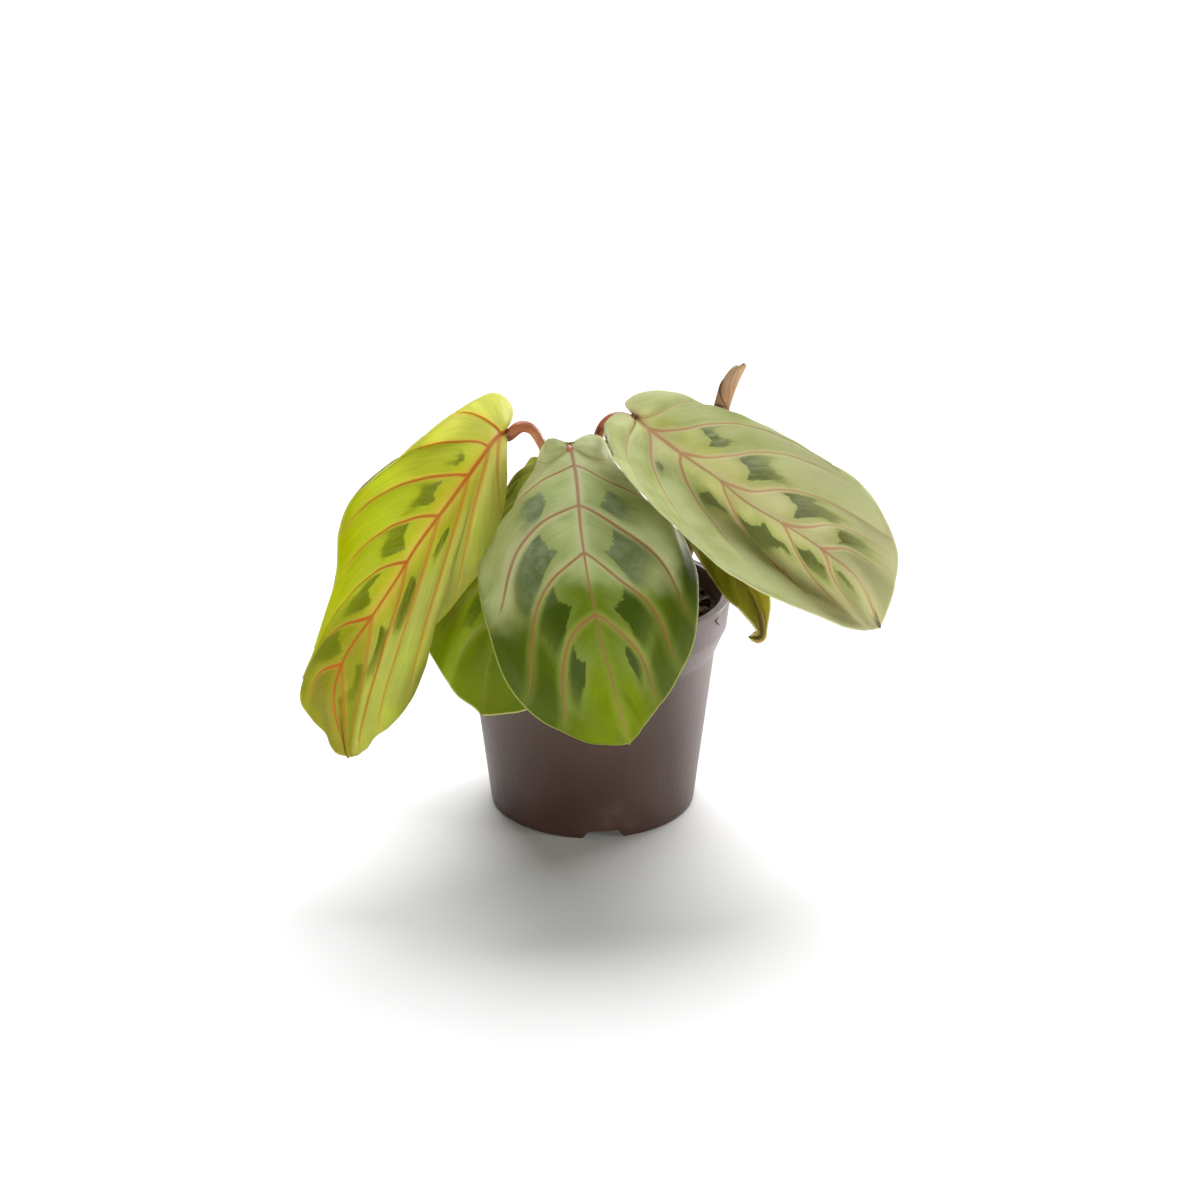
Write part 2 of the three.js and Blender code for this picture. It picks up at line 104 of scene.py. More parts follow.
def curveThrough(pointsMm, perSpan=160):  # smooth curve in metres, read by its share of the length
    points = np.array(pointsMm, float) * mm
    ends = np.vstack([2 * points[0] - points[1], points, 2 * points[-1] - points[-2]])
    share = np.linspace(0, 1, perSpan, endpoint=False)[:, None]
    dense = []
    for before, start, end, after in zip(ends, ends[1:], ends[2:], ends[3:]):
        leave, arrive = (end - before) / 2, (after - start) / 2
        bend = 3 * (end - start) - 2 * leave - arrive
        twist = 2 * (start - end) + leave + arrive
        dense.append(start + leave * share + bend * share**2 + twist * share**3)
    dense = np.vstack([*dense, points[-1:]])
    steps = np.linalg.norm(np.diff(dense, axis=0), axis=1)
    run = np.concatenate([[0], np.cumsum(steps)])
    length = run[-1]

    def at(where):
        where = np.clip(where, 0, 1) * length
        return np.stack([np.interp(where, run, dense[:, k]) for k in range(3)], -1)

    def heading(where, reach=0.004):
        ahead, behind = np.minimum(where + reach, 1), np.maximum(where - reach, 0)
        way = at(ahead) - at(behind)
        return way / np.linalg.norm(way, axis=-1, keepdims=True)

    return at, heading, length


def shapedGrid(name, places):  # a grid primitive, its rows and columns moved onto places[row, column]
    rows, columns = places.shape[0] - 1, places.shape[1] - 1
    deselectAll()
    bpy.ops.mesh.primitive_grid_add(x_subdivisions=columns, y_subdivisions=rows, size=0.1)
    piece = named(name)
    piece.data.vertices.foreach_set("co", places.reshape(-1))
    piece.data.update()
    return piece


def closeShape(piece, reach=1e-6):  # merges seams and poles and turns the faces outwards
    def work():
        bpy.ops.mesh.remove_doubles(threshold=reach)
        bpy.ops.mesh.normals_make_consistent(inside=False)
    inEditMode(piece, work)


def smooth(piece):
    pick(piece)
    bpy.ops.object.shade_smooth()


def tubePlaces(points, radiusAt, sides, step):  # rings round a route; radiusAt(share, length, angles)
    at, heading, length = curveThrough(points)
    rows = max(4, math.ceil(length / (step * mm)))
    cap = np.array([0, 0.3, 0.7]) * step * mm / length * 0.5
    shares = np.concatenate([cap, np.linspace(0, 1, rows + 1)[1:-1], 1 - cap[::-1]])
    centres, ways = at(shares), heading(shares)
    across = np.cross(ways[0], [0.3, 1, 0.2])
    angles = np.linspace(0, 2 * math.pi, sides + 1)
    rings = []
    for i, (centre, way) in enumerate(zip(centres, ways)):
        across = across - way * np.dot(across, way)
        across = across / np.linalg.norm(across)
        other = np.cross(way, across)
        close = {0: 0, 1: 0.75, 2: 0.95}.get(min(i, len(shares) - 1 - i), 1)
        radius = radiusAt(shares[i], length, angles) * np.ones_like(angles) * close
        radius[-1] = radius[0]
        ring = np.outer(np.cos(angles) * radius, across) + np.outer(np.sin(angles) * radius, other)
        rings.append(centre + ring)
    return np.array(rings)


def tubePiece(name, points, radiusAt, sides=20, step=0.6):
    piece = shapedGrid(name, tubePlaces(points, radiusAt, sides, step))
    closeShape(piece)
    smooth(piece)
    return piece


def paint(code):  # "rrggbb" as seen, to Blender's linear colour
    parts = [int(code[i:i + 2], 16) / 255 for i in (0, 2, 4)]
    return [c / 12.92 if c <= 0.04045 else ((c + 0.055) / 1.055) ** 2.4 for c in parts] + [1]


def newMaterial(name):
    material = bpy.data.materials.new(name)
    material.use_nodes = True
    tree = material.node_tree
    tree.nodes.clear()
    out = tree.nodes.new("ShaderNodeOutputMaterial")
    shader = tree.nodes.new("ShaderNodeBsdfPrincipled")
    tree.links.new(shader.outputs[0], out.inputs["Surface"])
    return material, tree, shader


def newNode(kind, *values):  # in the node tree of the first socket among the values
    tree = next(value.id_data for value in values if isinstance(value, bpy.types.NodeSocket))
    return tree.nodes.new("ShaderNode" + kind)


def feed(node, values):  # each input, by its name or number, gets a link or a constant
    for key, value in values.items():
        if isinstance(value, bpy.types.NodeSocket):
            node.id_data.links.new(value, node.inputs[key])
        else:
            node.inputs[key].default_value = value


def finishShader(shader, colour, rough, shine=0.5):
    feed(shader, {"Base Color": colour, "Roughness": rough, "Specular IOR Level": shine})


def calc(operation, *values):
    node = newNode("Math", *values)
    node.operation = operation
    feed(node, dict(enumerate(values)))
    return node.outputs[0]


def times(first, second):
    return calc("MULTIPLY", first, second)


def scaled(value, factor, offset):  # value * factor + offset
    return calc("MULTIPLY_ADD", value, factor, offset)


def ease(value, low, high, start=0.0, end=1.0):  # smooth step from start to end
    node = newNode("MapRange", value)
    node.interpolation_type = "SMOOTHSTEP"
    feed(node, dict(enumerate((value, low, high, start, end))))
    return node.outputs[0]


def blend(share, first, second):
    node = newNode("Mix", share, first, second)
    node.data_type = "RGBA"
    feed(node, {0: share, 6: first, 7: second})
    return node.outputs[2]


def reading(tree, name):
    node = tree.nodes.new("ShaderNodeAttribute")
    node.attribute_name = name
    return node.outputs["Fac"]


def objectPlace(tree):
    return tree.nodes.new("ShaderNodeTexCoord").outputs["Object"]


def mapPlace(tree, name):
    node = tree.nodes.new("ShaderNodeUVMap")
    node.uv_map = name
    return node.outputs[0]


def stretched(place, scale):
    node = newNode("Mapping", place)
    feed(node, {"Vector": place, "Scale": scale})
    return node.outputs[0]


def separated(place, axis):
    node = newNode("SeparateXYZ", place)
    feed(node, {0: place})
    return node.outputs[axis]


def cloud(place, scale, detail=3.0, rough=0.5):
    node = newNode("TexNoise", place)
    feed(node, {"Vector": place, "Scale": scale, "Detail": detail, "Roughness": rough})
    return node.outputs["Fac"]


def brighten(colour, factor):
    node = newNode("VectorMath", colour, factor)
    node.operation = "SCALE"
    feed(node, {0: colour, "Scale": factor})
    return node.outputs[0]


def relief(shader, height, distance, strength=1.0):
    node = newNode("Bump", height)
    feed(node, {"Height": height, "Distance": distance, "Strength": strength})
    feed(shader, {"Normal": node.outputs[0]})
    return node.outputs[0]


view = {"place": (1.66, -385.6, 191.9), "pitch": 69.32, "lens": 56.91, "sensor": 36, "clip": (0.01, 50)}
studio = {
    "floorSize": 12.0, "sunTurn": (-33, 4), "sunSpread": 52, "sunPower": 3.95, "skyPower": 0.05,
    # soft cards that stand round the plant: place, width and power
    "cards": [
        ((0.8, -0.25, 0.1), 0.16, 3.2), ((-0.45, -1.3, 0.14), 0.24, 12.0), ((0.6, 0.5, 0.16), 0.3, 4.5),
    ],
    "cardAim": (0, 0, 0.05),
}


def setCamera():
    bpy.ops.object.camera_add(location=[c * mm for c in view["place"]],
                              rotation=(math.radians(view["pitch"]), 0, 0))
    camera = bpy.context.object
    camera.data.sensor_width, camera.data.lens = view["sensor"], view["lens"]
    camera.data.clip_start, camera.data.clip_end = view["clip"]
    bpy.context.scene.camera = camera


def setStudio():
    bpy.ops.mesh.primitive_plane_add(size=studio["floorSize"])
    floor = named("floor")
    material, tree, shader = newMaterial("floorPaper")
    finishShader(shader, (0.93, 0.93, 0.93, 1), 0.9, 0.1)
    floor.data.materials.append(material)
    bpy.ops.object.light_add(type="SUN", location=(0, 1, 2))
    sun = bpy.context.object
    sun.rotation_euler = [math.radians(a) for a in (*studio["sunTurn"], 0)]
    sun.data.angle = math.radians(studio["sunSpread"])
    sun.data.energy = studio["sunPower"]
    for place, width, power in studio["cards"]:
        bpy.ops.object.light_add(type="AREA", location=place)
        card = bpy.context.object
        way = Vector(studio["cardAim"]) - card.location
        card.rotation_euler = way.to_track_quat("-Z", "Y").to_euler()
        card.data.size, card.data.energy = width, power
    world = bpy.data.worlds.new("studioSky")
    world.use_nodes = True
    bpy.context.scene.world = world
    feed(world.node_tree.nodes["Background"], {"Color": (1, 1, 1, 1), "Strength": studio["skyPower"]})


deselectAll()
setCamera()
setStudio()
print("camera, floor and light are in place")


pot = {
    "height": 49, "rimRadius": 30, "lipWidth": 2.0, "lipHeight": 1.1,
    "shoulderTop": (29.3, 42), "shoulderFoot": (26.8, 36.5), "base": 22.8,
    "wall": 0.9, "floor": 3.1, "sides": 192,
    "channels": 3, "channelTurn": -84, "channelWidth": 9, "channelSlant": 1.2,
    "channelHeight": 2, "channelStart": 7, "channelRound": 0.35, "holeRadius": 2, "holeAt": 15,
    "smoothBelow": 28,  # edges that turn less than this many degrees are shaded smooth
}


def potProfile():  # radius and height, from the underside up the outside, over the lip and down inside
    top, rim = pot["height"], pot["rimRadius"]
    lip = rim - pot["lipWidth"]
    shoulderR, shoulderZ = pot["shoulderTop"]
    footR, footZ = pot["shoulderFoot"]
    wall = pot["wall"]
    return [
        (pot["base"] - 1.5, 0), (pot["base"] - 0.7, 0), (pot["base"] - 0.2, 0.2), (pot["base"], 0.7),
        (pot["base"] + 0.08, 1.4), (footR - 0.3, footZ - 3), (footR - 0.06, footZ - 0.5),
        (footR + 0.06, footZ), (footR + 0.3, footZ + 0.4),
        (shoulderR - 0.45, shoulderZ - 0.8), (shoulderR - 0.1, shoulderZ - 0.15),
        (shoulderR, shoulderZ + 0.5), (rim - 0.25, top - 2.2), (rim - 0.22, top - 1.6),
        (rim - 0.02, top - 1.35), (rim, top - 0.9), (rim - 0.02, top - 0.45), (rim - 0.15, top - 0.15),
        (rim - 0.4, top), (lip + 1.15, top), (lip + 0.95, top - 0.14), (lip + 0.75, top),
        (lip + 0.25, top), (lip + 0.06, top - 0.1), (lip, top - 0.35),
        (lip + 0.02, top - pot["lipHeight"]), (rim - wall - 0.3, top - 1.9), (shoulderR - wall, shoulderZ),
        (footR - wall, footZ), (pot["base"] - wall + 0.3, pot["floor"] + 0.6),
        (pot["base"] - wall - 0.4, pot["floor"]), (pot["base"] - 4, pot["floor"]),
    ]


def potBody():
    profile = potProfile()
    deselectAll()
    bpy.ops.mesh.primitive_circle_add(vertices=pot["sides"], radius=profile[0][0] * mm,
                                      location=(0, 0, profile[0][1] * mm))
    body = named("pot_body")
    applyPlace()

    def loft():
        for (radius, height), (nextRadius, nextHeight) in zip(profile, profile[1:]):
            bpy.ops.mesh.extrude_edges_move(
                TRANSFORM_OT_translate={"value": (0, 0, (nextHeight - height) * mm)})
            size = nextRadius / radius
            bpy.ops.transform.resize(value=(size, size, 1))
        bpy.ops.mesh.edge_face_add()
    inEditMode(body, loft)

    def fillUnderside():
        bpy.ops.mesh.select_all(action="DESELECT")
        bpy.ops.mesh.select_non_manifold()
        bpy.ops.mesh.edge_face_add()
        bpy.ops.mesh.select_all(action="SELECT")
        bpy.ops.mesh.normals_make_consistent(inside=False)
    inEditMode(body, fillUnderside)
    return body


def channelCutter(turn):  # a tapered bar with a drain pin on it
    width, height = pot["channelWidth"], pot["channelHeight"]
    start, end = pot["channelStart"], pot["rimRadius"]
    deselectAll()
    bpy.ops.mesh.primitive_cube_add(size=1)
    bar = named("channel_cutter")
    for vertex in bar.data.vertices:
        x, y, z = vertex.co
        wide = width - 2 * pot["channelSlant"] if z > 0 else width + pot["channelSlant"]
        vertex.co = Vector((start if x < 0 else end, y * wide, height if z > 0 else -height / 2)) * mm

    def roundCorners():
        bpy.ops.mesh.bevel(offset=pot["channelRound"] * mm, segments=3, affect="EDGES")
    inEditMode(bar, roundCorners)
    bpy.ops.mesh.primitive_cylinder_add(vertices=40, radius=pot["holeRadius"] * mm, depth=8 * mm,
                                        location=(pot["holeAt"] * mm, 0, 3 * mm))
    pin = named("drain_cutter")
    applyPlace()
    for cutter in (bar, pin):
        pick(cutter)
        bpy.ops.transform.rotate(value=-turn, orient_axis="Z", center_override=(0, 0, 0))
        applyPlace()
    return [bar, pin]


def potMaterial():
    material, tree, shader = newMaterial("potPlastic")
    place = objectPlace(tree)
    broad = cloud(place, 38, 3)
    fine = cloud(stretched(place, (1, 1, 0.15)), 900, 2)
    height = calc("DIVIDE", separated(place, "Z"), pot["height"] * mm)
    tone = blend(ease(height, 0.02, 0.9), paint("301910"), paint("46352d"))
    tone = blend(ease(broad, 0.35, 0.75, 0, 0.7), tone, paint("443027"))
    dusty = ease(cloud(place, 120, 5, 0.65), 0.56, 0.78, 0, 0.15)
    tone = blend(dusty, tone, paint("6c5e58"))
    paintedSheen = ease(scaled(height, 0.006, separated(place, "X")), 0.018, 0.034, 0, 0.55)
    tone = blend(paintedSheen, tone, paint("968a8a"))  # painted sheen: the right side made a lighter mauve-grey, standing in for light falling from the right
    finishShader(shader, tone, ease(broad, 0.2, 0.8, 0.36, 0.48), 0.4)
    relief(shader, calc("ADD", fine, times(broad, 3.0)), 0.00006)
    return material


def makePot():
    body = potBody()
    for i in range(pot["channels"]):
        turn = math.radians(pot["channelTurn"] + i * 360 / pot["channels"])
        for cutter in channelCutter(turn):
            cut = body.modifiers.new("drain", "BOOLEAN")
            cut.operation, cut.object, cut.solver = "DIFFERENCE", cutter, "EXACT"
            applyModifiers(body)
            bpy.data.objects.remove(cutter)
    pick(body)
    bpy.ops.object.shade_smooth_by_angle(angle=math.radians(pot["smoothBelow"]))
    finishPiece(body, potMaterial(), ["pot"])


makePot()
print("pot is made")


soil = {
    "level": 44.4, "bottom": 3.7, "edge": 28.05, "rings": 90, "sectors": 220, "lump": 1.5,
    "crumbs": 420, "crumbSize": (0.35, 1.6), "grains": 16, "grainSize": (0.35, 0.7), "fibres": 60,
    "spread": 26.5, "seed": 7,
    # a root strand stuck to the collar, by turn and height
    "strand": [(-26.6, 47.6), (-28.2, 47.5), (-29.7, 47.2), (-28.6, 46.7), (-26.9, 46.1), (-25.4, 45.5)],
    "strandRadius": 0.14,
}


def soilHeight(x, y):  # millimetres
    place = Vector((x, y, 3.7))
    broad = noise.noise(place * 0.09) * 0.9
    lumps = noise.fractal(place * 0.32, 0.9, 2.1, 4) * soil["lump"] * 0.55
    crumbs = abs(noise.noise(place * 0.95)) * 0.9
    rimDrop = -0.8 * smoothStep(24.5, 28, math.hypot(x, y))
    return soil["level"] + broad + lumps + crumbs - 0.5 + rimDrop


def soilBody():
    edge, bottom = soil["edge"], soil["bottom"]
    wall = [(28.3, 42), (25.8, 36.5), (21.8, bottom + 0.5), (21, bottom), (10, bottom), (0, bottom)]
    angles = np.linspace(0, 2 * math.pi, soil["sectors"] + 1)
    rows = []
    for i in range(soil["rings"] + 1):
        radius = edge * (i / soil["rings"]) ** 0.85
        ring = [(radius * math.cos(a), radius * math.sin(a)) for a in angles[:-1]]
        ring.append(ring[0])
        rows.append([(x, y, soilHeight(x, y)) for x, y in ring])
    for radius, height in wall:
        ring = [(radius * math.cos(a), radius * math.sin(a), height) for a in angles[:-1]]
        rows.append([*ring, ring[0]])
    body = shapedGrid("soil_body", np.array(rows) * mm)
    closeShape(body)
    smooth(body)
    return body


def lumpModel(name, seed):  # one crumb, a rough ball of a few dozen faces
    deselectAll()
    bpy.ops.mesh.primitive_uv_sphere_add(segments=8, ring_count=5, radius=1)
    lump = named(name)
    for vertex in lump.data.vertices:
        vertex.co *= 1 + 0.45 * noise.noise(vertex.co * 1.3 + Vector((seed, 0, 0)))
    return lump


def scatter(name, models, count, sizes, draw, sink=0.2):  # copies of the models lie on the soil
    copies, spread = [], soil["spread"]
    for i in range(count):
        x, y = 2 * spread, 0
        while math.hypot(x, y) > spread:
            x, y = draw.uniform(-spread, spread), draw.uniform(-spread, spread)
        size = sizes[0] + (sizes[1] - sizes[0]) * draw.random() ** 2.2
        copy = models[i % len(models)].copy()
        copy.data = copy.data.copy()
        bpy.context.collection.objects.link(copy)
        copy.location = Vector((x, y, soilHeight(x, y) + size * sink)) * mm
        copy.rotation_euler = [draw.uniform(0, 6.28) for _ in range(3)]
        copy.scale = [size * mm * draw.uniform(0.7, 1.2) for _ in range(3)]
        copies.append(copy)
    piece = joined(name, copies)
    applyPlace()
    return piece


def fibrePiece(draw):  # thin root and peat strands that lie on the soil
    strands = []
    for _ in range(soil["fibres"]):
        angle, reach = draw.uniform(0, 6.28), 25 * math.sqrt(draw.random())
        x, y, way = reach * math.cos(angle), reach * math.sin(angle), draw.uniform(0, 6.28)
        route = []
        for k in range(6):
            route.append((x, y, soilHeight(x, y) + 0.25 + 0.35 * (k % 2)))
            way += draw.uniform(-0.7, 0.7)
            x, y = x + 0.9 * math.cos(way), y + 0.9 * math.sin(way)
            if math.hypot(x, y) > soil["spread"]:
                x, y = x * 0.93, y * 0.93
        thick = draw.uniform(0.09, 0.2) * mm
        places = tubePlaces(route, lambda share, length, angles: thick * (1 - 0.5 * share), 5, 1.0)
        strands.append(shapedGrid("strand", places))
    piece = joined("soil_fibres", strands)
    applyPlace()
    closeShape(piece, 1e-7)
    smooth(piece)
    return piece


def collarStrand():
    route = []
    for turn, height in soil["strand"]:
        angle = math.radians(turn)
        radius = 29.42 + (height - 42.5) * 0.078 + 0.06  # the collar widens upwards
        route.append((radius * math.cos(angle), radius * math.sin(angle), height))
    thick = soil["strandRadius"] * mm
    return tubePiece("collar_fibre", route, lambda share, length, angles: thick * (1 - 0.4 * share), 8, 0.3)


def soilMaterial(name, dark, light, speck, scale):
    material, tree, shader = newMaterial(name)
    place = objectPlace(tree)
    grain = cloud(place, scale, 6, 0.7)
    tone = blend(ease(grain, 0.35, 0.7), paint(dark), paint(light))
    bits = ease(cloud(place, scale * 2.3, 2), 0.66, 0.74, 0, 0.7)
    finishShader(shader, blend(bits, tone, paint(speck)), 0.88, 0.25)
    relief(shader, grain, 0.0004)
    return material


def makeSoil():
    draw = random.Random(soil["seed"])
    peat = soilMaterial("peat", "1c120a", "463021", "87694c", 700)
    finishPiece(soilBody(), peat, ["soil"])
    models = [lumpModel(f"lump{i}", 5.0 * i) for i in range(4)]
    crumbs = scatter("soil_crumbs", models, soil["crumbs"], soil["crumbSize"], draw)
    finishPiece(crumbs, soilMaterial("peatCrumbs", "20140b", "513726", "967556", 500))
    grains = scatter("soil_grains", models, soil["grains"], soil["grainSize"], draw, sink=0.5)
    finishPiece(grains, soilMaterial("paleGrains", "8c7a62", "b9a88c", "cfc3ab", 500))
    for model in models:
        bpy.data.objects.remove(model)
    fibres = fibrePiece(draw)
    finishPiece(fibres, soilMaterial("peatFibres", "3a2416", "6d4a2e", "8a6a48", 400))
    strand = collarStrand()
    finishPiece(strand, soilMaterial("rootFibre", "1a0f0a", "30201a", "46342a", 400))


makeSoil()
print("soil is made")


blade = {
    "rowStep": 0.62, "columns": 40, "wall": 0.3, "ribWall": 0.22,
    # the upper side's relief: depth or height, and half the width
    "ribGroove": (0.38, 1.1), "ribRidge": (0.14, 0.33), "veinGroove": (0.16, 0.8),
    "veinRidge": (0.12, 0.25), "wave": 0.14, "streakSize": (5, 240, 1), "streakRelief": (0.00012, 0.8),
}


def intervalRows(leaf, lengths):  # how far along both sides' veins each row starts and ends
    stops = np.array([(0, 0, 0, 0), *leaf["veins"], (1, 1, 1, 1)], float)
    rows, spans, bands = [], [], []
    for k, (before, after) in enumerate(zip(stops, stops[1:])):
        widest = np.max((after - before) * lengths)
        count = max(8, math.ceil(widest / (blade["rowStep"] * mm)))
        last = k == len(stops) - 2
        for i in range(count + (1 if last else 0)):
            even = i / count
            share = even + 0.6 * ((1 - math.cos(math.pi * even)) / 2 - even)
            rows.append(before + (after - before) * share)
            spans.append(share)
            bands.append(k)
    return np.array(rows), np.array(spans), np.array(bands)


def steadied(ways, rows=40):  # evens a direction out over the rows beside it
    padded = np.pad(ways, ((rows, rows), (0, 0), (0, 0)), mode="edge")
    sums = np.cumsum(np.concatenate([padded[:1] * 0, padded]), 0)
    mean = sums[2 * rows + 1:] - sums[:-2 * rows - 1]
    return mean / np.linalg.norm(mean, axis=-1, keepdims=True)


def gapTo(points, line):  # distance from every point to a line of points, in metres
    start, step = line[:-1], np.diff(line, axis=0)
    square = np.maximum((step**2).sum(-1), 1e-18)
    gaps = np.empty(len(points))
    for first in range(0, len(points), 2000):
        part = points[first:first + 2000, None] - start[None]
        share = np.clip((part * step).sum(-1) / square, 0, 1)
        gaps[first:first + 2000] = np.sqrt(((part - share[..., None] * step) ** 2).sum(-1).min(1))
    return gaps


def bladeSurface(leaf):
    base, tip = leaf["midrib"][0], leaf["midrib"][-1]
    rib, ribWay, ribLength = curveThrough(leaf["midrib"])
    left, _, leftLength = curveThrough([base, *leaf["left"], tip])
    right, _, rightLength = curveThrough([base, *leaf["right"], tip])
    rows, spans, bands = intervalRows(leaf, np.array([ribLength, leftLength, ribLength, rightLength]))
    half = (np.arange(blade["columns"] + 1) / blade["columns"]) ** 1.35
    across = np.concatenate([half[::-1], -half[1:]])  # from the right margin to the left one
    count, wide = len(rows), len(across)
    places = np.zeros((count, wide, 3))
    reachOut = np.zeros((count, wide))
    mean = (rows[:, 0] + rows[:, 2]) / 2
    for side, margin, origin, end, shape, arch in (
        (-1, left, rows[:, 0], rows[:, 1], leaf["leftBend"], leaf["arch"][0]),
        (1, right, rows[:, 2], rows[:, 3], leaf["rightBend"], leaf["arch"][1]),
    ):
        own = np.nonzero(across * side >= 0)[0]
        t = np.abs(across[own])[None]
        start = mean[:, None] + (origin - mean)[:, None] * smoothStep(0, 0.18, t)
        foot, way = rib(start), ribWay(start)
        calm = smoothStep(0, 0.35, t)[..., None]
        way = way * (1 - calm) + steadied(way) * calm
        way = way / np.linalg.norm(way, axis=-1, keepdims=True)
        reach = margin(end)[:, None] - foot
        run = (reach * way).sum(-1, keepdims=True)
        out = reach - way * run
        width = np.linalg.norm(out, axis=-1, keepdims=True)
        up = np.cross(way, out) * side * arch * 4 / 3
        leaveOut, leaveOn, arriveOut, arriveOn = shape
        leaveOn = (leaveOn * smoothStep(1, 0.7, start))[..., None]  # none at the tip, which would fold
        first = foot + out * leaveOut + way * width * leaveOn + up
        second = foot + out * arriveOut + way * run * arriveOn + up
        t = t[..., None]
        places[:, own] = (foot * (1 - t) ** 3 + 3 * first * t * (1 - t) ** 2
                          + 3 * second * t * t * (1 - t) + (foot + reach) * t**3)
        reachOut[:, own] = np.linalg.norm(reach, axis=-1)
    return places, rows, spans, bands, across, reachOut


def surfaceNormals(places, beside=5):  # each the mean of those round it, so a tight crease stays clean
    along = np.gradient(places, axis=0)
    over = np.gradient(places, axis=1)
    normal = np.cross(over, along)
    for _ in range(2):
        padded = np.pad(normal, ((beside, beside), (0, 0), (0, 0)), mode="edge")
        normal = sum(padded[k:k + len(normal)] for k in range(2 * beside + 1)).swapaxes(0, 1)
    if len(normal) != len(places):
        normal = normal.swapaxes(0, 1)
    size = np.linalg.norm(normal, axis=-1, keepdims=True)
    return normal / np.maximum(size, 1e-15)


def insideOf(outline, x, y):
    inside = np.zeros(x.shape, bool)
    for (ax, ay), (bx, by) in zip(outline, outline[1:] + outline[:1]):
        crosses = (ay > y) != (by > y)
        at = ax + (bx - ax) * (y - ay) / (by - ay if by != ay else 1)
        inside ^= crosses & (x < at)
    return inside


def depthIn(outline, x, y, wide, high):  # millimetres inside an outline, less than 0 outside it
    gaps = np.full(x.shape, 9.0)
    for (ax, ay), (bx, by) in zip(outline, outline[1:] + outline[:1]):
        px, py, qx, qy = (x - ax) * wide, (y - ay) * high, (bx - ax) * wide, (by - ay) * high
        share = np.clip((px * qx + py * qy) / np.maximum(qx * qx + qy * qy, 1e-9), 0, 1)
        gaps = np.minimum(gaps, np.hypot(px - share * qx, py - share * qy))
    return np.where(insideOf(outline, x, y), gaps, -gaps)


def blotchReadings(leaf, places, spans, bands, across, reachOut):
    depth, far = np.full(reachOut.shape, -9.0), np.zeros(reachOut.shape)
    starts = [*np.nonzero(np.diff(bands, prepend=-1))[0], len(bands) - 1]
    for side, blotches in ((-1, leaf["leftBlotches"]), (1, leaf["rightBlotches"])):
        columns = np.nonzero(across * side > 0)[0]
        for band, outline in blotches.items():
            outline = [(x / 100, y / 100) for x, y in outline]
            own = np.ix_(np.nonzero(bands == band)[0], columns)
            step = places[starts[band + 1], columns] - places[starts[band], columns]
            high = np.linalg.norm(step, axis=-1)
            x = np.abs(across[columns])[None] + 0 * spans[bands == band][:, None]
            y = spans[bands == band][:, None] + 0 * x
            depth[own] = depthIn(outline, x, y, reachOut[own] / mm, high[None] / mm)
            inner, outer = min(c[0] for c in outline), max(c[0] for c in outline)
            far[own] = np.clip((x - inner) / (outer - inner), 0, 1)
    return depth, far


def bladeReadings(leaf, places, rows, spans, bands, across, reachOut):
    count, wide = places.shape[:2]
    flat = places.reshape(-1, 3)
    middle = blade["columns"]
    ribGap = gapTo(flat, places[:, middle]).reshape(count, wide) / mm
    edgeGap = np.minimum(gapTo(flat, places[:, 0]), gapTo(flat, places[:, -1])).reshape(count, wide) / mm
    veinGap = np.full((count, wide), 30.0)
    starts = [np.nonzero(bands == k)[0][0] for k in range(bands[-1] + 1)]
    for k in range(bands[-1] + 1):
        own = np.nonzero(bands == k)[0]
        for edge in (starts[k] if k > 0 else None, starts[k + 1] if k < bands[-1] else None):
            if edge is None:
                continue
            for part in (slice(0, middle + 1), slice(middle, wide)):
                points = places[own, part]
                gaps = gapTo(points.reshape(-1, 3), places[edge, part]).reshape(points.shape[:2]) / mm
                veinGap[own, part] = np.minimum(veinGap[own, part], gaps)
    depth, far = blotchReadings(leaf, places, spans, bands, across, reachOut)
    return {
        "ribGap": ribGap, "edgeGap": edgeGap, "veinGap": veinGap, "blotch": depth, "far": far,
        "across": np.repeat(np.abs(across)[None], count, 0),
        "side": np.repeat(smoothStep(-0.02, 0.02, across)[None], count, 0),
        "along": np.repeat(((rows[:, 0] + rows[:, 2]) / 2)[:, None], wide, 1),
        "rank": np.repeat((bands + spans)[:, None], wide, 1),
    }


def furrow(gap, depthAndHalf):  # a groove's depth, or a ridge's height, at a gap from its middle line
    depth, half = depthAndHalf
    return depth * np.exp(-(gap / half) ** 2)


def bladeRelief(leaf, places, readings, spans, reachOut):  # pleats, grooves and soft waves
    across, vein, rib = readings["across"], readings["veinGap"], readings["ribGap"]
    swell = np.sin(np.pi * spans)[:, None] ** 0.9
    fade = smoothStep(0.02, 0.3, across) * (1 - 0.7 * smoothStep(0.7, 1, across))
    room = np.clip(reachOut / (12 * mm), 0, 1)
    lift = leaf["pleat"] * swell * fade * room
    lift -= furrow(rib, blade["ribGroove"]) - furrow(rib, blade["ribRidge"])
    fine = np.clip(1 - across, 0.2, 1) * smoothStep(0, 2.0, rib)
    lift -= (furrow(vein, blade["veinGroove"]) - furrow(vein, blade["veinRidge"])) * fine
    x, y, z = (places[..., k] / mm for k in range(3))
    wave = np.sin(0.55 * x + 0.3 * z + leaf["phase"]) * np.sin(0.47 * y - 0.35 * x + 1.3 * leaf["phase"])
    lift += blade["wave"] * wave * smoothStep(0, 0.25, across) * room
    return lift * mm


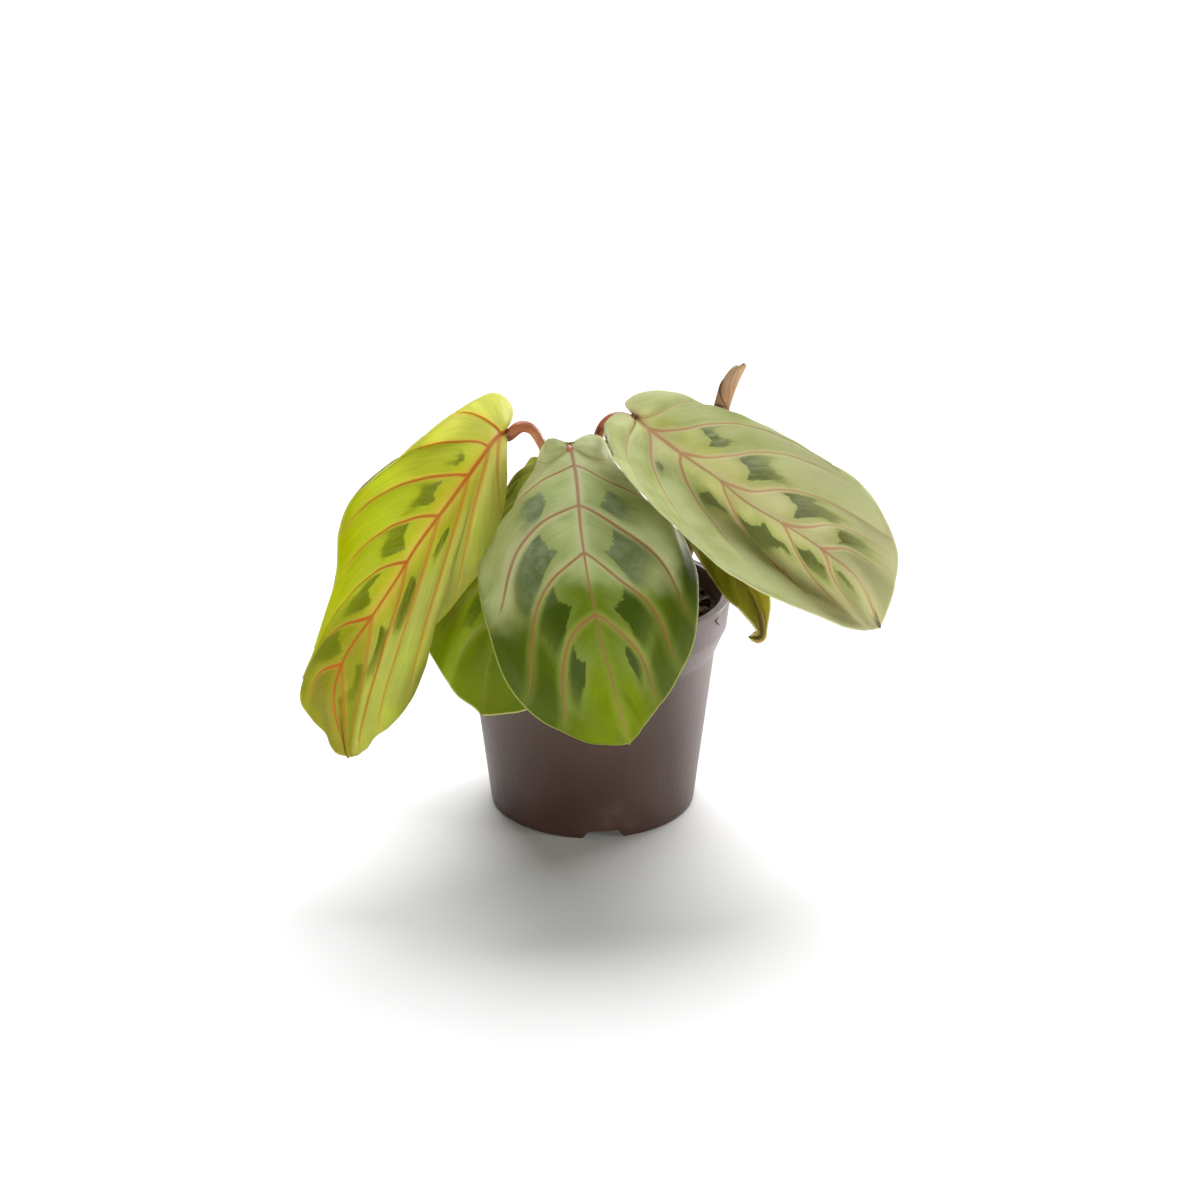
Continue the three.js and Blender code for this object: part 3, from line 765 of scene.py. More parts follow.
def bladePiece(name, leaf):
    places, rows, spans, bands, across, reachOut = bladeSurface(leaf)
    readings = bladeReadings(leaf, places, rows, spans, bands, across, reachOut)
    lift = bladeRelief(leaf, places, readings, spans, reachOut)
    normals = surfaceNormals(places)
    normals[0], normals[-1] = normals[2], normals[-3]
    places = places + normals * (lift + blade["wall"] * mm / 2)[..., None]
    places[0], places[-1] = places[0].mean(0), places[-1].mean(0)
    piece = shapedGrid(name, places)
    mesh = piece.data
    for key, values in readings.items():
        layer = mesh.attributes.new(key, "FLOAT", "POINT")
        layer.data.foreach_set("value", values.astype(np.float32).reshape(-1))
    corners = np.empty(len(mesh.loops), np.int32)
    mesh.loops.foreach_get("vertex_index", corners)
    signed = (np.repeat(across[None], len(rows), 0) + 1) / 2
    spread = np.stack([signed.reshape(-1), readings["along"].reshape(-1)], -1)[corners]
    mesh.uv_layers[0].name = "bladeMap"
    mesh.uv_layers[0].data.foreach_set("uv", spread.astype(np.float32).reshape(-1))
    thick = piece.vertex_groups.new(name="ribs")
    share = np.clip(np.exp(-(readings["ribGap"] / 0.9) ** 2)
                    + 0.25 * np.exp(-(readings["veinGap"] / 0.4) ** 2) * (1 - readings["across"]), 0, 1)
    share = share * smoothStep(0.75, 0.3, readings["along"])
    for index, weight in enumerate(share.reshape(-1)):
        thick.add([index], float(weight), "REPLACE")

    inEditMode(piece, lambda: bpy.ops.mesh.remove_doubles(threshold=1e-7))
    wall = piece.modifiers.new("wall", "SOLIDIFY")
    wall.thickness = (blade["wall"] + blade["ribWall"]) * mm
    wall.offset = -1
    wall.vertex_group = "ribs"
    wall.thickness_vertex_group = blade["wall"] / (blade["wall"] + blade["ribWall"])
    wall.material_offset = 1
    wall.material_offset_rim = 0
    piece.data.materials.append(bladeTop(name + "_top", leaf["look"]))
    piece.data.materials.append(bladeUnder(name + "_under", leaf["look"]))
    applyModifiers(piece)
    piece.vertex_groups.clear()
    smooth(piece)
    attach(piece, "root")
    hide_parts(leaf["node"])
    return piece


def veinMask(tree, look, out, along):  # the midrib's and the side veins' share
    rib, vein = reading(tree, "ribGap"), reading(tree, "veinGap")
    ribHalf = scaled(along, -0.6 * look["ribHalf"], look["ribHalf"])
    onRib = calc("SUBTRACT", 1.0, ease(calc("DIVIDE", rib, ribHalf), 0.55, 1.3))
    onRib = times(onRib, ease(along, 0.94, 0.99, 1, 0))
    veinHalf = scaled(out, -0.62 * look["veinHalf"], look["veinHalf"])
    onVein = calc("SUBTRACT", 1.0, ease(calc("DIVIDE", vein, veinHalf), 0.5, 1.4))
    onVein = times(onVein, ease(out, look["veinEnd"] - 0.2, look["veinEnd"], 1, 0))
    return calc("MAXIMUM", onRib, times(onVein, keptVeins(tree, look)))


# how much the side veins show: the first pair and those on the right half less, and none past the last
def keptVeins(tree, look):
    rank = reading(tree, "rank")
    rightShare = scaled(reading(tree, "side"), look["veinRight"] - 1, 1.0)
    shown = times(rightShare, ease(rank, *look["veinStop"], 1, 0))
    return times(shown, ease(rank, 1.3, 1.7, look["veinFirst"], 1))


def bladeTop(name, look):
    material, tree, shader = newMaterial(name)
    across, along, side = reading(tree, "across"), reading(tree, "along"), reading(tree, "side")
    rib, vein, rank = reading(tree, "ribGap"), reading(tree, "veinGap"), reading(tree, "rank")
    spread, place = mapPlace(tree, "bladeMap"), objectPlace(tree)
    streak = cloud(stretched(spread, blade["streakSize"]), 1, 3, 0.6)
    broadStreak = cloud(stretched(spread, (6, 60, 1)), 1, 3, 0.6)
    patch = cloud(place, 110, 3, 0.5)

    def halves(key):  # one colour left of the midrib, one right of it
        return blend(side, *(paint(code) for code in look[key]))

    # the lamina: the band along the midrib, the halves beside it, its base, its tip and its low part; on the
    # front leaf the colours above the low part carry a painted sheen, and the low part keeps the leaf's own
    # darker green
    ragged = scaled(broadStreak, 0.3, calc("SUBTRACT", across, 0.15))
    onOuter = ease(ragged, look["bandEnd"] - 0.08, look["bandEnd"] + 0.12)
    tone = blend(onOuter, halves("band"), halves("outer"))
    tone = blend(ease(ragged, look["edgeFrom"], 0.95), tone, halves("edge"))
    tone = blend(ease(rank, *look["baseEnd"], look["baseShare"], 0), tone, paint(look["base"]))
    tone = blend(ease(patch, 0.42, 0.7, 0, look["patchShare"]), tone, paint(look["patch"]))
    lowSlope = scaled(side, look["lowRight"], look["lowSlope"])
    lowBy = calc("SUBTRACT", scaled(across, lowSlope, rank), look["lowMottle"] / 2)
    low = ease(scaled(patch, look["lowMottle"], lowBy), *look["lowFrom"], 0, look["lowShare"])
    tone = blend(low, tone, blend(ease(ragged, 0.1, 0.8), paint(look["lowBand"]), paint(look["low"])))
    tone = blend(ease(rank, *look["tipFrom"], 0, look["tipShare"]), tone, paint(look["tip"]))
    tone = brighten(tone, ease(streak, 0.3, 0.7, 1 - look["streaks"], 1 + look["streaks"]))

    # dark blotches with a jagged inner edge that run out in streaks, each with a soft round one beneath it
    far = reading(tree, "far")
    jag = cloud(stretched(spread, (60, 95, 1)), 1, 2, 0.5)
    run = times(calc("SUBTRACT", broadStreak, 0.5), times(far, 5.0))
    depth = calc("ADD", reading(tree, "blotch"), scaled(jag, 1.1, -0.55))
    depth = calc("ADD", depth, run)
    soft = scaled(times(far, far), look["fade"], 0.14)
    blotch = ease(calc("DIVIDE", depth, soft), -1.0, 1.0)
    tone = blend(ease(depth, -3.0, 0.0, 0, look["haloShare"]), tone, paint(look["halo"]))
    clear = ease(scaled(jag, 0.5, vein), *look["clear"])
    blotch = times(times(blotch, clear), look["blotchShare"])
    blotch = times(blotch, ease(far, 0.35, 1.0, 1, look["blotchFar"]))
    mottle = scaled(cloud(place, 260, 4, 0.6), look["mottled"], times(broadStreak, 1 - look["mottled"]))
    # upper blotches mottled with a paler grey-green; on the front leaf this grey is a painted reflection of
    # the soft light, which stops at the low part
    grey = blend(ease(mottle, 0.42, 0.62, 0, 0.7), halves("blotch"), paint(look["blotchLight"]))
    tone = blend(blotch, tone, blend(low, grey, paint(look["blotchLow"])))

    # pale borders along the veins, then the veins and the margin
    ribBorder = times(ease(rib, 0.4, look["borderRib"], 1, 0), scaled(low, -0.7, 1.0))
    veinBorder = times(ease(vein, 0.2, look["borderVein"], 1, 0), ease(across, 0.3, 1.0, 1, 0.25))
    veinBorder = times(veinBorder, keptVeins(tree, look))
    border = times(calc("MAXIMUM", ribBorder, veinBorder), look["borderShare"])
    border = times(border, scaled(low, -look["borderFade"], 1.0))
    tone = blend(border, tone, blend(low, paint(look["border"]), paint(look["borderLow"])))
    veins = times(veinMask(tree, look, across, along),
                  ease(patch, 0.2, 0.6, look["veinShare"] * 0.8, look["veinShare"]))
    tone = blend(veins, tone, blend(ease(across, 0.25, 0.9), paint(look["vein"]), paint(look["veinFar"])))
    rim = ease(reading(tree, "edgeGap"), 0.12, 0.42, look["rimShare"], 0)
    tone = blend(rim, tone, paint(look["rim"]))

    rough = ease(patch, 0.25, 0.75, look["gloss"] - 0.05, look["gloss"] + 0.07)
    finishShader(shader, tone, rough, look["shine"])
    bump = relief(shader, calc("ADD", streak, times(cloud(place, 1500, 2), 0.35)), *blade["streakRelief"])
    letLightThrough(shader, tone, 1.3, bump, look["through"])
    return material


def letLightThrough(shader, tone, brighter, bump, share):
    surface = shader.outputs[0].links[0].to_socket
    through = newNode("BsdfTranslucent", bump)
    feed(through, {"Color": brighten(tone, brighter), "Normal": bump})
    both = newNode("MixShader", bump)
    feed(both, {0: share, 1: shader.outputs[0], 2: through.outputs[0]})
    shader.id_data.links.new(both.outputs[0], surface)


def bladeUnder(name, look):
    material, tree, shader = newMaterial(name)
    across, along = reading(tree, "across"), reading(tree, "along")
    streak = cloud(stretched(mapPlace(tree, "bladeMap"), blade["streakSize"]), 1, 3, 0.6)
    patch = cloud(objectPlace(tree), 90, 3, 0.5)
    tone = blend(ease(patch, 0.35, 0.7), paint(look["under"]), paint(look["underFlush"]))
    blotch = times(ease(reading(tree, "blotch"), -0.5, 0.5), 0.4)
    tone = blend(blotch, tone, paint(look["underBlotch"]))
    tone = brighten(tone, ease(streak, 0.3, 0.7, 0.92, 1.08))
    veins = times(veinMask(tree, look, across, along), 0.8)
    tone = blend(veins, tone, paint(look["underVein"]))
    finishShader(shader, tone, 0.6, 0.3)
    letLightThrough(shader, tone, 1.5, relief(shader, streak, *blade["streakRelief"]), 0.7)
    return material


# what the leaves have in common unless their own look says otherwise; a pair of colours is for the left and
# the right half, and baseEnd, lowFrom, tipFrom and veinStop count the vein pairs from the leaf's base
plainLook = {
    "edgeFrom": 0.6, "streaks": 0.08, "lowSlope": 0, "lowRight": 0, "blotchFar": 0.6, "clear": (0.6, 0.95),
    "haloShare": 0, "veinFirst": 1, "veinRight": 1, "borderFade": 0.2, "shine": 0.12,
    "under": "b9c19c", "underFlush": "a8988c", "underBlotch": "8a9678", "underVein": "a86a62",
}

leftLeaf = {
    # arch is how far each half bulges, by share of its width, and pleat how high it swells between two veins
    "node": "leaf_left", "slot": "leaf_yellow_green", "phase": 0.4, "arch": (0.1, 0.1), "pleat": 0.55,
    "midrib": [
        (-17.5, -7.5, 86.5), (-19.5, -13.5, 86.5), (-22.5, -21, 84), (-28, -29, 78), (-33.5, -36, 72),
        (-37.5, -41.5, 66.5), (-42.5, -44.5, 59.5), (-48, -47, 51.5), (-50, -48.5, 43), (-48, -47, 31),
    ],
    "left": [
        (-16.5, -4, 89.5), (-18, -4.5, 92.5), (-21, -8.5, 94.5), (-25.5, -14, 93.5), (-33.5, -20, 89),
        (-42.5, -22.5, 81.5), (-48, -24, 77), (-50.5, -27, 70.5), (-51, -31.5, 62.5), (-54.5, -38, 51.5),
        (-57.5, -41, 41.5), (-55.2, -43.2, 37.6), (-52.4, -44.8, 35.2), (-51.4, -45.8, 33.1),
        (-50.1, -46.5, 31.6),
    ],
    "right": [
        (-17.5, -9, 85), (-18, -13, 78.5), (-18, -18, 73.5), (-21.5, -26, 64.5), (-27, -33, 58.5),
        (-32.5, -39, 53.5), (-32.5, -42, 49.5), (-35, -46.5, 43.5), (-39.1, -50, 39.3),
        (-42.3, -49.6, 36.4), (-44.1, -48.8, 33.8), (-46.1, -47.8, 31.9),
    ],
    # each vein pair: share of the midrib and of the margin on the left, then on the right
    "veins": [
        (0.036, 0.23, 0.045, 0.25), (0.103, 0.41, 0.12, 0.5), (0.218, 0.55, 0.22, 0.78),
        (0.344, 0.64, 0.35, 0.88), (0.482, 0.76, 0.485, 0.955), (0.638, 0.82, 0.625, 0.982),
        (0.761, 0.88, 0.76, 0.994),
    ],
    # how each half leaves the midrib and then how it comes to the margin: its share outwards and onwards
    "leftBend": (0.1, 0.19, 0.92, 0.17), "rightBend": (0.27, 0.78, 0.66, 1.0),
    # a blotch for each interval between two veins: its outline in per cent of the half's width and of the
    # interval's length
    "leftBlotches": {
        2: [(25, 38), (20, 45), (15, 62), (20, 76), (27, 72), (22, 60)],
        3: [(24, 15), (24.5, 48), (19.5, 60), (20, 73), (42, 78), (40, 58), (36, 40), (42, 17), (30, 20)],
        4: [(33, 10), (28, 42), (20, 60), (14, 74), (26, 80), (40, 82), (50, 50), (47, 30), (58, 6),
            (42, 4)],
        5: [(31, 13), (34, 45), (25, 60), (15, 77), (35, 84), (50, 88), (57, 60), (50, 35), (50, 13)],
        6: [(42, 17), (36, 38), (25, 57), (13, 74), (30, 82), (50, 83), (68, 70), (80, 40), (82, 8),
            (60, 8)],
    },
    "rightBlotches": {
        3: [(16, 25), (14, 55), (19, 78), (24, 60), (20, 30)],
        4: [(28, 8), (20, 30), (13, 62), (20, 82), (27, 90), (36, 65), (41, 20), (36, 2)],
        5: [(28, 15), (22, 35), (17, 57), (30, 58), (36, 85), (41, 65), (43, 30), (36, 12)],
        6: [(27, 15), (19, 45), (27, 42), (32, 60), (29, 90), (36, 95), (43, 60), (45, 30), (38, 15)],
        7: [(30, 2), (18, 25), (25, 25), (36, 5)],
    },
    "look": {
        **plainLook,
        # the right half's paler outer and edge colours carry a painted sheen over the leaf's own
        # yellow-green, which the left half shows
        "band": ("cfcb22", "c2c02e"), "bandEnd": 0.2, "outer": ("c6d032", "c6cc64"), "edgeFrom": 0.5,
        "edge": ("b8c406", "acb048"), "base": "e2e074", "baseEnd": (0.2, 3.2), "baseShare": 0.9,
        "low": "8f8c18", "lowBand": "9c9712", "lowFrom": (5.3, 6.7), "lowShare": 0.9, "lowSlope": 0.3,
        "lowMottle": 0.8, "tip": "908a24", "tipFrom": (6.7, 7.7), "tipShare": 0.7,
        "patch": "cfe03c", "patchShare": 0.3, "halo": "b4c410", "haloShare": 0.2,
        "blotch": ("7c8a04", "656f04"), "blotchLight": "969c38", "blotchLow": "808a0a", "blotchShare": 0.95,
        "blotchFar": 0.7, "fade": 1.1, "mottled": 0.2, "clear": (0.3, 0.55),
        "border": "e6d058", "borderLow": "ccbc4c", "borderShare": 0.7, "borderRib": 2.4, "borderVein": 1.3,
        "vein": "cf6a20", "veinFar": "c48a1e", "veinShare": 0.92, "veinEnd": 0.98,
        "ribHalf": 0.5, "veinHalf": 0.42, "veinRight": 0.55, "veinStop": (7.6, 7.9),
        "rim": "dcd878", "rimShare": 0.4, "gloss": 0.48, "shine": 0.16, "through": 0.42,
    },
}

frontLeaf = {
    "node": "leaf_front", "slot": "leaf_green", "phase": 1.9, "arch": (0.1, 0.1), "pleat": 0.6,
    "midrib": [
        (-4.5, -12.5, 85), (-4, -15.5, 84), (-3, -24, 81), (-2, -38, 75), (-0.5, -49, 69),
        (1.5, -55.5, 61.5), (4.5, -57.5, 49.5), (7.5, -52, 36),
    ],
    "left": [
        (-6.5, -10.5, 85), (-8.5, -9, 85), (-10, -8.5, 83.5), (-12, -10, 78.5), (-15, -16.5, 74.5),
        (-18.25, -24.4, 70.65), (-21.8, -32.7, 66.8), (-21.5, -42, 64), (-19.5, -52, 60), (-15.5, -58, 51),
        (-9.5, -59, 44.5), (-1, -56.5, 39),
    ],
    "right": [
        (-2, -9.5, 85.5), (0, -7.5, 85.5), (2.5, -6.5, 84), (5.5, -8.5, 78.5), (10, -17.5, 75.5),
        (15.5, -26, 72.5), (19, -33, 69.5), (20.5, -44, 65), (19.5, -50.5, 57), (16, -52.5, 49.5),
        (11.5, -52.5, 42.5), (9, -52, 38.5),
    ],
    "veins": [
        (0.012, 0.12, 0.02, 0.15), (0.07, 0.3, 0.11, 0.36), (0.237, 0.6, 0.272, 0.7),
        (0.407, 0.755, 0.446, 0.8), (0.598, 0.845, 0.62, 0.89), (0.8, 0.945, 0.81, 0.955),
    ],
    "leftBend": (0.95, 0.3, 0.62, 1.0), "rightBend": (1.0, 0.4, 0.66, 0.9),
    "leftBlotches": {
        2: [(14, 35), (12, 62), (14, 82), (19, 95), (27, 95), (25, 75), (28, 60), (24, 33)],
        3: [(19, 16), (17, 33), (14.5, 54), (10, 68), (18, 79), (25, 90), (42, 88), (55, 50), (50, 16)],
        4: [(18, 12), (18, 40), (15, 54), (10.5, 66), (20, 84), (28, 95), (38, 85), (40, 50), (42, 13)],
        5: [(20, 10), (24.5, 26), (17.5, 45), (30, 53), (44, 48), (60, 33), (60, 10)],
    },
    "rightBlotches": {
        2: [(10, 30), (9, 55), (6.5, 83), (15, 92), (20, 80), (17, 40)],
        3: [(11.5, 10), (10.5, 50), (7.5, 71), (13, 76), (20, 88), (27, 88), (30, 50), (32, 10)],
        4: [(16, 8), (15.5, 40), (10.5, 66), (20, 74), (30, 87), (40, 87), (43, 50), (44, 10)],
        5: [(22, 15), (19.5, 32), (26, 45), (40, 50), (52, 38), (50, 10)],
    },
    "look": {
        **plainLook,
        # painted sheen over the upper part: the pale grey-green band, outer, edge, base, blotchLight and
        # border colours; low, lowBand, blotchLow and borderLow, from lowFrom on, are the leaf's own saturated
        # green below it
        "band": ("adb97c", "abb678"), "bandEnd": 0.16, "outer": ("a0a468", "b4bb84"),
        "edge": ("b4ba84", "c8cc9c"), "base": "d2d6a6", "baseEnd": (0.3, 2.4), "baseShare": 0.7,
        "low": "445400", "lowBand": "5c7000", "lowFrom": (4.05, 4.85), "lowShare": 0.97, "lowSlope": 1.7,
        "lowRight": 0.7, "lowMottle": 0.7, "tip": "728400", "tipFrom": (4.6, 5.9), "tipShare": 0.85,
        "patch": "84934c", "patchShare": 0.45, "halo": "869448", "haloShare": 0.4,
        "blotch": ("5e6d42", "68754a"), "blotchLight": "84906a", "blotchLow": "384a04", "blotchShare": 0.95,
        "blotchFar": 0.55, "fade": 1.3, "mottled": 0.85,
        "border": "bcbe8c", "borderLow": "9aa248", "borderShare": 0.8, "borderRib": 1.9, "borderVein": 2.0,
        "borderFade": 0.3, "vein": "9c6e48", "veinFar": "8a7038", "veinShare": 0.9, "veinEnd": 0.93,
        "ribHalf": 0.44, "veinHalf": 0.4, "veinFirst": 0.25, "veinStop": (5.3, 5.6),
        "rim": "b4b860", "rimShare": 0.7, "gloss": 0.42, "shine": 0.1, "through": 0.25,
    },
}

rightLeaf = {
    "node": "leaf_right", "slot": "leaf_pale", "phase": 3.1, "arch": (0.03, 0.1), "pleat": 0.45,
    "midrib": [
        (8.5, -1, 88), (13, -8, 86), (19, -16, 83.5), (24.5, -23.5, 81.5), (30, -30, 78.5),
        (36.5, -35.5, 76), (44, -39, 72), (51.5, -40, 66), (57, -37.5, 54.5),
    ],
    "left": [
        (5.5, -1.5, 88.5), (3, -8.5, 88.5), (3, -17.5, 88), (4.5, -27, 86), (10, -37.5, 82),
        (17, -44.5, 77), (24, -50, 72), (32.5, -51.5, 67), (43.5, -47.5, 61), (51.5, -41, 55.5),
    ],
    "right": [
        (7, 3, 89.5), (11, 4.5, 91.5), (18, 1.5, 92), (25, -2.5, 90), (32.5, -7, 88.5), (40.5, -13.5, 86),
        (47.5, -20.5, 83.5), (53.5, -25.5, 80.5), (57, -30, 76.5), (60, -34, 69.5), (59.5, -36, 63),
        (58, -37.5, 58),
    ],
    "veins": [
        (0.005, 0.46, 0.004, 0.26), (0.084, 0.63, 0.073, 0.59), (0.202, 0.76, 0.23, 0.70),
        (0.357, 0.90, 0.405, 0.81), (0.59, 0.97, 0.60, 0.85), (0.72, 0.985, 0.70, 0.90),
    ],
    "leftBend": (0.29, 0.6, 0.75, 0.16), "rightBend": (0.16, 0.7, 0.72, 0.02),
    "leftBlotches": {
        2: [(39, 10), (38, 30), (44, 38), (50, 15), (47, 4)],
        3: [(27.5, 58), (36, 38), (45, 12), (60, 6), (50, 35), (47, 55), (45, 72), (38, 80), (37, 65)],
        4: [(31, 8), (32, 25), (28, 40), (20, 56), (11, 64), (24, 69), (28, 83), (48, 95), (36, 78),
            (40, 66), (50, 47), (60, 10), (45, 4)],
        5: [(22, 6), (25, 26), (20, 42), (14, 56), (25, 68), (32, 76), (35, 97), (52, 97), (60, 60),
            (50, 20), (36, 8)],
        6: [(20, 17), (30, 10), (45, 25), (55, 45), (42, 42), (28, 27)],
    },
    "rightBlotches": {
        2: [(36, 8), (33, 30), (32, 50), (25, 65), (33, 76), (44, 64), (40, 50), (41, 30), (48, 10)],
        3: [(34, 12), (32.5, 42), (30, 56), (20.5, 74), (36, 77), (52, 87), (50, 45), (57, 18), (45, 8)],
        4: [(41, 6), (44, 25), (40, 52), (30, 64), (18.5, 79), (40, 80), (55, 80), (65, 95), (75, 60),
            (62, 35), (72, 10)],
        5: [(60, 22), (53, 45), (51, 74), (40, 88), (28, 97), (50, 97), (66, 93), (80, 70), (83, 17)],
    },
    "look": {
        **plainLook,
        "band": ("ced48a", "bcbe72"), "bandEnd": 0.26, "outer": ("bcc484", "adb374"),
        "edge": ("b2b884", "b8ba90"), "base": "d0d39a", "baseEnd": (0.3, 1.5), "baseShare": 0.7,
        "low": "bdb88c", "lowBand": "c6bf8c", "lowFrom": (2.8, 4.8), "lowShare": 0.7, "lowSlope": 0.3,
        "lowMottle": 1.0, "tip": "98986a", "tipFrom": (5.2, 6.2), "tipShare": 0.85,
        "patch": "929e4c", "patchShare": 0.5, "streaks": 0.07, "halo": "98a34a", "haloShare": 0.5,
        "blotch": ("6c7642", "4c5808"), "blotchLight": "8e9468", "blotchLow": "585a2c", "blotchShare": 0.93,
        "fade": 1.2, "mottled": 0.35,
        "border": "ccc592", "borderLow": "cfc698", "borderShare": 0.8, "borderRib": 2.8, "borderVein": 1.3,
        "borderFade": 0.1, "vein": "ba8a64", "veinFar": "a89468", "veinShare": 0.78, "veinEnd": 0.97,
        "ribHalf": 0.42, "veinHalf": 0.38, "veinFirst": 0.55, "veinStop": (6.6, 6.9),
        "rim": "d0d2a4", "rimShare": 0.5, "gloss": 0.5, "through": 0.25,
    },
}

plainBlotches = {
    1: [(30, 20), (28, 70), (40, 80), (50, 40)],
    2: [(30, 15), (25, 60), (40, 85), (60, 60), (55, 15)],
    3: [(30, 15), (22, 60), (40, 80), (60, 60), (60, 15)],
}

lowLeaf = {
    "node": "leaf_low", "slot": "leaf_shaded", "phase": 4.3, "arch": (0.1, 0.1), "pleat": 0.5,
    "midrib": [
        (-10.5, -5.5, 80), (-12.5, -11.5, 75), (-15.5, -19, 66.5), (-18, -27.5, 58), (-20.5, -34, 47.5),
        (-22.5, -34, 34),
    ],
    "left": [
        (-12.5, -5, 80), (-14.5, -6.5, 77.5), (-17.5, -9, 75), (-21.5, -12.5, 67.5), (-26.5, -19, 59),
        (-32, -25, 52.5), (-33.5, -28, 47.5), (-31, -31, 43.5), (-27.5, -33, 38.5), (-24, -34, 36),
    ],
    "right": [
        (-9, -6.5, 79.5), (-6.5, -14, 73.5), (-4.5, -23, 66), (-4, -31, 58), (-6, -35.5, 48),
        (-9, -36.5, 39.5), (-13, -36.5, 36.5), (-17.5, -35, 35),
    ],
    "veins": [2 * pair for pair in ((0.04, 0.2), (0.14, 0.42), (0.3, 0.62), (0.47, 0.75), (0.64, 0.86))],
    "leftBend": (0.5, 0.3, 0.8, 0.6), "rightBend": (0.5, 0.3, 0.8, 0.6),
    "leftBlotches": {**plainBlotches, 4: [(30, 15), (22, 60), (40, 80), (55, 50)]},
    "rightBlotches": plainBlotches,
    "look": {
        **plainLook,
        "band": ("6c7c08", "586a04"), "bandEnd": 0.3, "outer": ("86990e", "5a6c04"),
        "edge": ("93a80e", "586a04"), "base": "b4bc50", "baseEnd": (0.2, 3.2), "baseShare": 0.8,
        "low": "617300", "lowBand": "5c6e00", "lowFrom": (4.6, 5.4), "lowShare": 0.8,
        "lowMottle": 0.6, "tip": "6a7600", "tipFrom": (5.2, 5.9), "tipShare": 0.6,
        "patch": "94a92c", "patchShare": 0.35, "streaks": 0.07, "halo": "62720a",
        "blotch": ("4b5c04", "42520a"), "blotchLight": "5c6c10", "blotchLow": "4b5c04", "blotchShare": 0.75,
        "fade": 1.2, "mottled": 0.5,
        "border": "a2ae58", "borderLow": "7c8c24", "borderShare": 0.5, "borderRib": 1.6, "borderVein": 1.2,
        "vein": "8a8034", "veinFar": "848c1c", "veinShare": 0.5, "veinEnd": 0.9,
        "ribHalf": 0.45, "veinHalf": 0.35, "veinStop": (5.6, 5.9),
        "rim": "cfcc80", "rimShare": 0.8, "gloss": 0.46, "through": 0.35,
    },
}

youngLeaf = {
    "node": "leaf_young", "slot": "leaf_olive", "phase": 5.2, "arch": (0.1, 0.1), "pleat": 0.25,
    "midrib": [
        (18.5, -3, 63.5), (22, -5, 61.5), (27.5, -8, 58.5), (32, -10, 54), (35, -11, 48.5),
        (36.3, -9.8, 43.6), (36, -9.2, 41.2), (33.4, -9, 41.2),
    ],
    "left": [
        (19.5, -4, 62), (22, -6.5, 59.5), (24.5, -9, 56), (28.5, -12, 51), (31.5, -13, 48.5),
        (34.6, -11.6, 44.2), (35, -10.2, 42.8), (34.3, -9.4, 42.1),
    ],
    "right": [
        (21, -3, 64.5), (27, -4, 62.5), (33, -6, 59), (37, -7, 53.5), (38, -8, 48.5), (37.5, -8.5, 44),
        (37.1, -8.8, 40.8), (35.6, -9, 39.8), (34.2, -9, 40.3),
    ],
    "veins": [2 * pair for pair in ((0.05, 0.2), (0.16, 0.42), (0.3, 0.62), (0.46, 0.76), (0.62, 0.87))],
    "leftBend": (0.5, 0.3, 0.8, 0.6), "rightBend": (0.5, 0.3, 0.8, 0.6),
    "leftBlotches": {band: plainBlotches[band] for band in (2, 3)},
    "rightBlotches": {band: plainBlotches[band] for band in (2, 3)},
    "look": {
        **plainLook,
        "band": ("6a6602", "857a04"), "bandEnd": 0.25, "outer": ("706e04", "8c8006"),
        "edge": ("7c7a08", "948a24"), "base": "a8ac60", "baseEnd": (0.5, 3.0), "baseShare": 0.5,
        "low": "706800", "lowBand": "746a02", "lowFrom": (4.0, 5.0), "lowShare": 0.5,
        "lowMottle": 0.4, "tip": "967c46", "tipFrom": (5.1, 5.5), "tipShare": 1.0,
        "patch": "7e7c0a", "patchShare": 0.3, "halo": "7e7c0a",
        "blotch": ("5c5c02", "6c6604"), "blotchLight": "66640a", "blotchLow": "5c5c02", "blotchShare": 0.4,
        "fade": 1.0, "mottled": 0.3,
        "border": "8c8420", "borderLow": "8c8420", "borderShare": 0.4, "borderRib": 0.9, "borderVein": 0.7,
        "vein": "574414", "veinFar": "7a6c14", "veinShare": 0.5, "veinEnd": 0.8,
        "ribHalf": 0.34, "veinHalf": 0.22, "veinStop": (4.6, 4.9),
        "rim": "d2cb8c", "rimShare": 0.85, "gloss": 0.46, "through": 0.3,
        "under": "8c8c40", "underFlush": "7e7a38",
        "underBlotch": "74702c", "underVein": "665a28",
    },
}

blades = {
    "left_blade": leftLeaf, "front_blade": frontLeaf, "right_blade": rightLeaf, "low_blade": lowLeaf,
    "young_blade": youngLeaf,
}
for pieceName, leaf in blades.items():
    bladePiece(pieceName, leaf)
    print(pieceName, "is made")


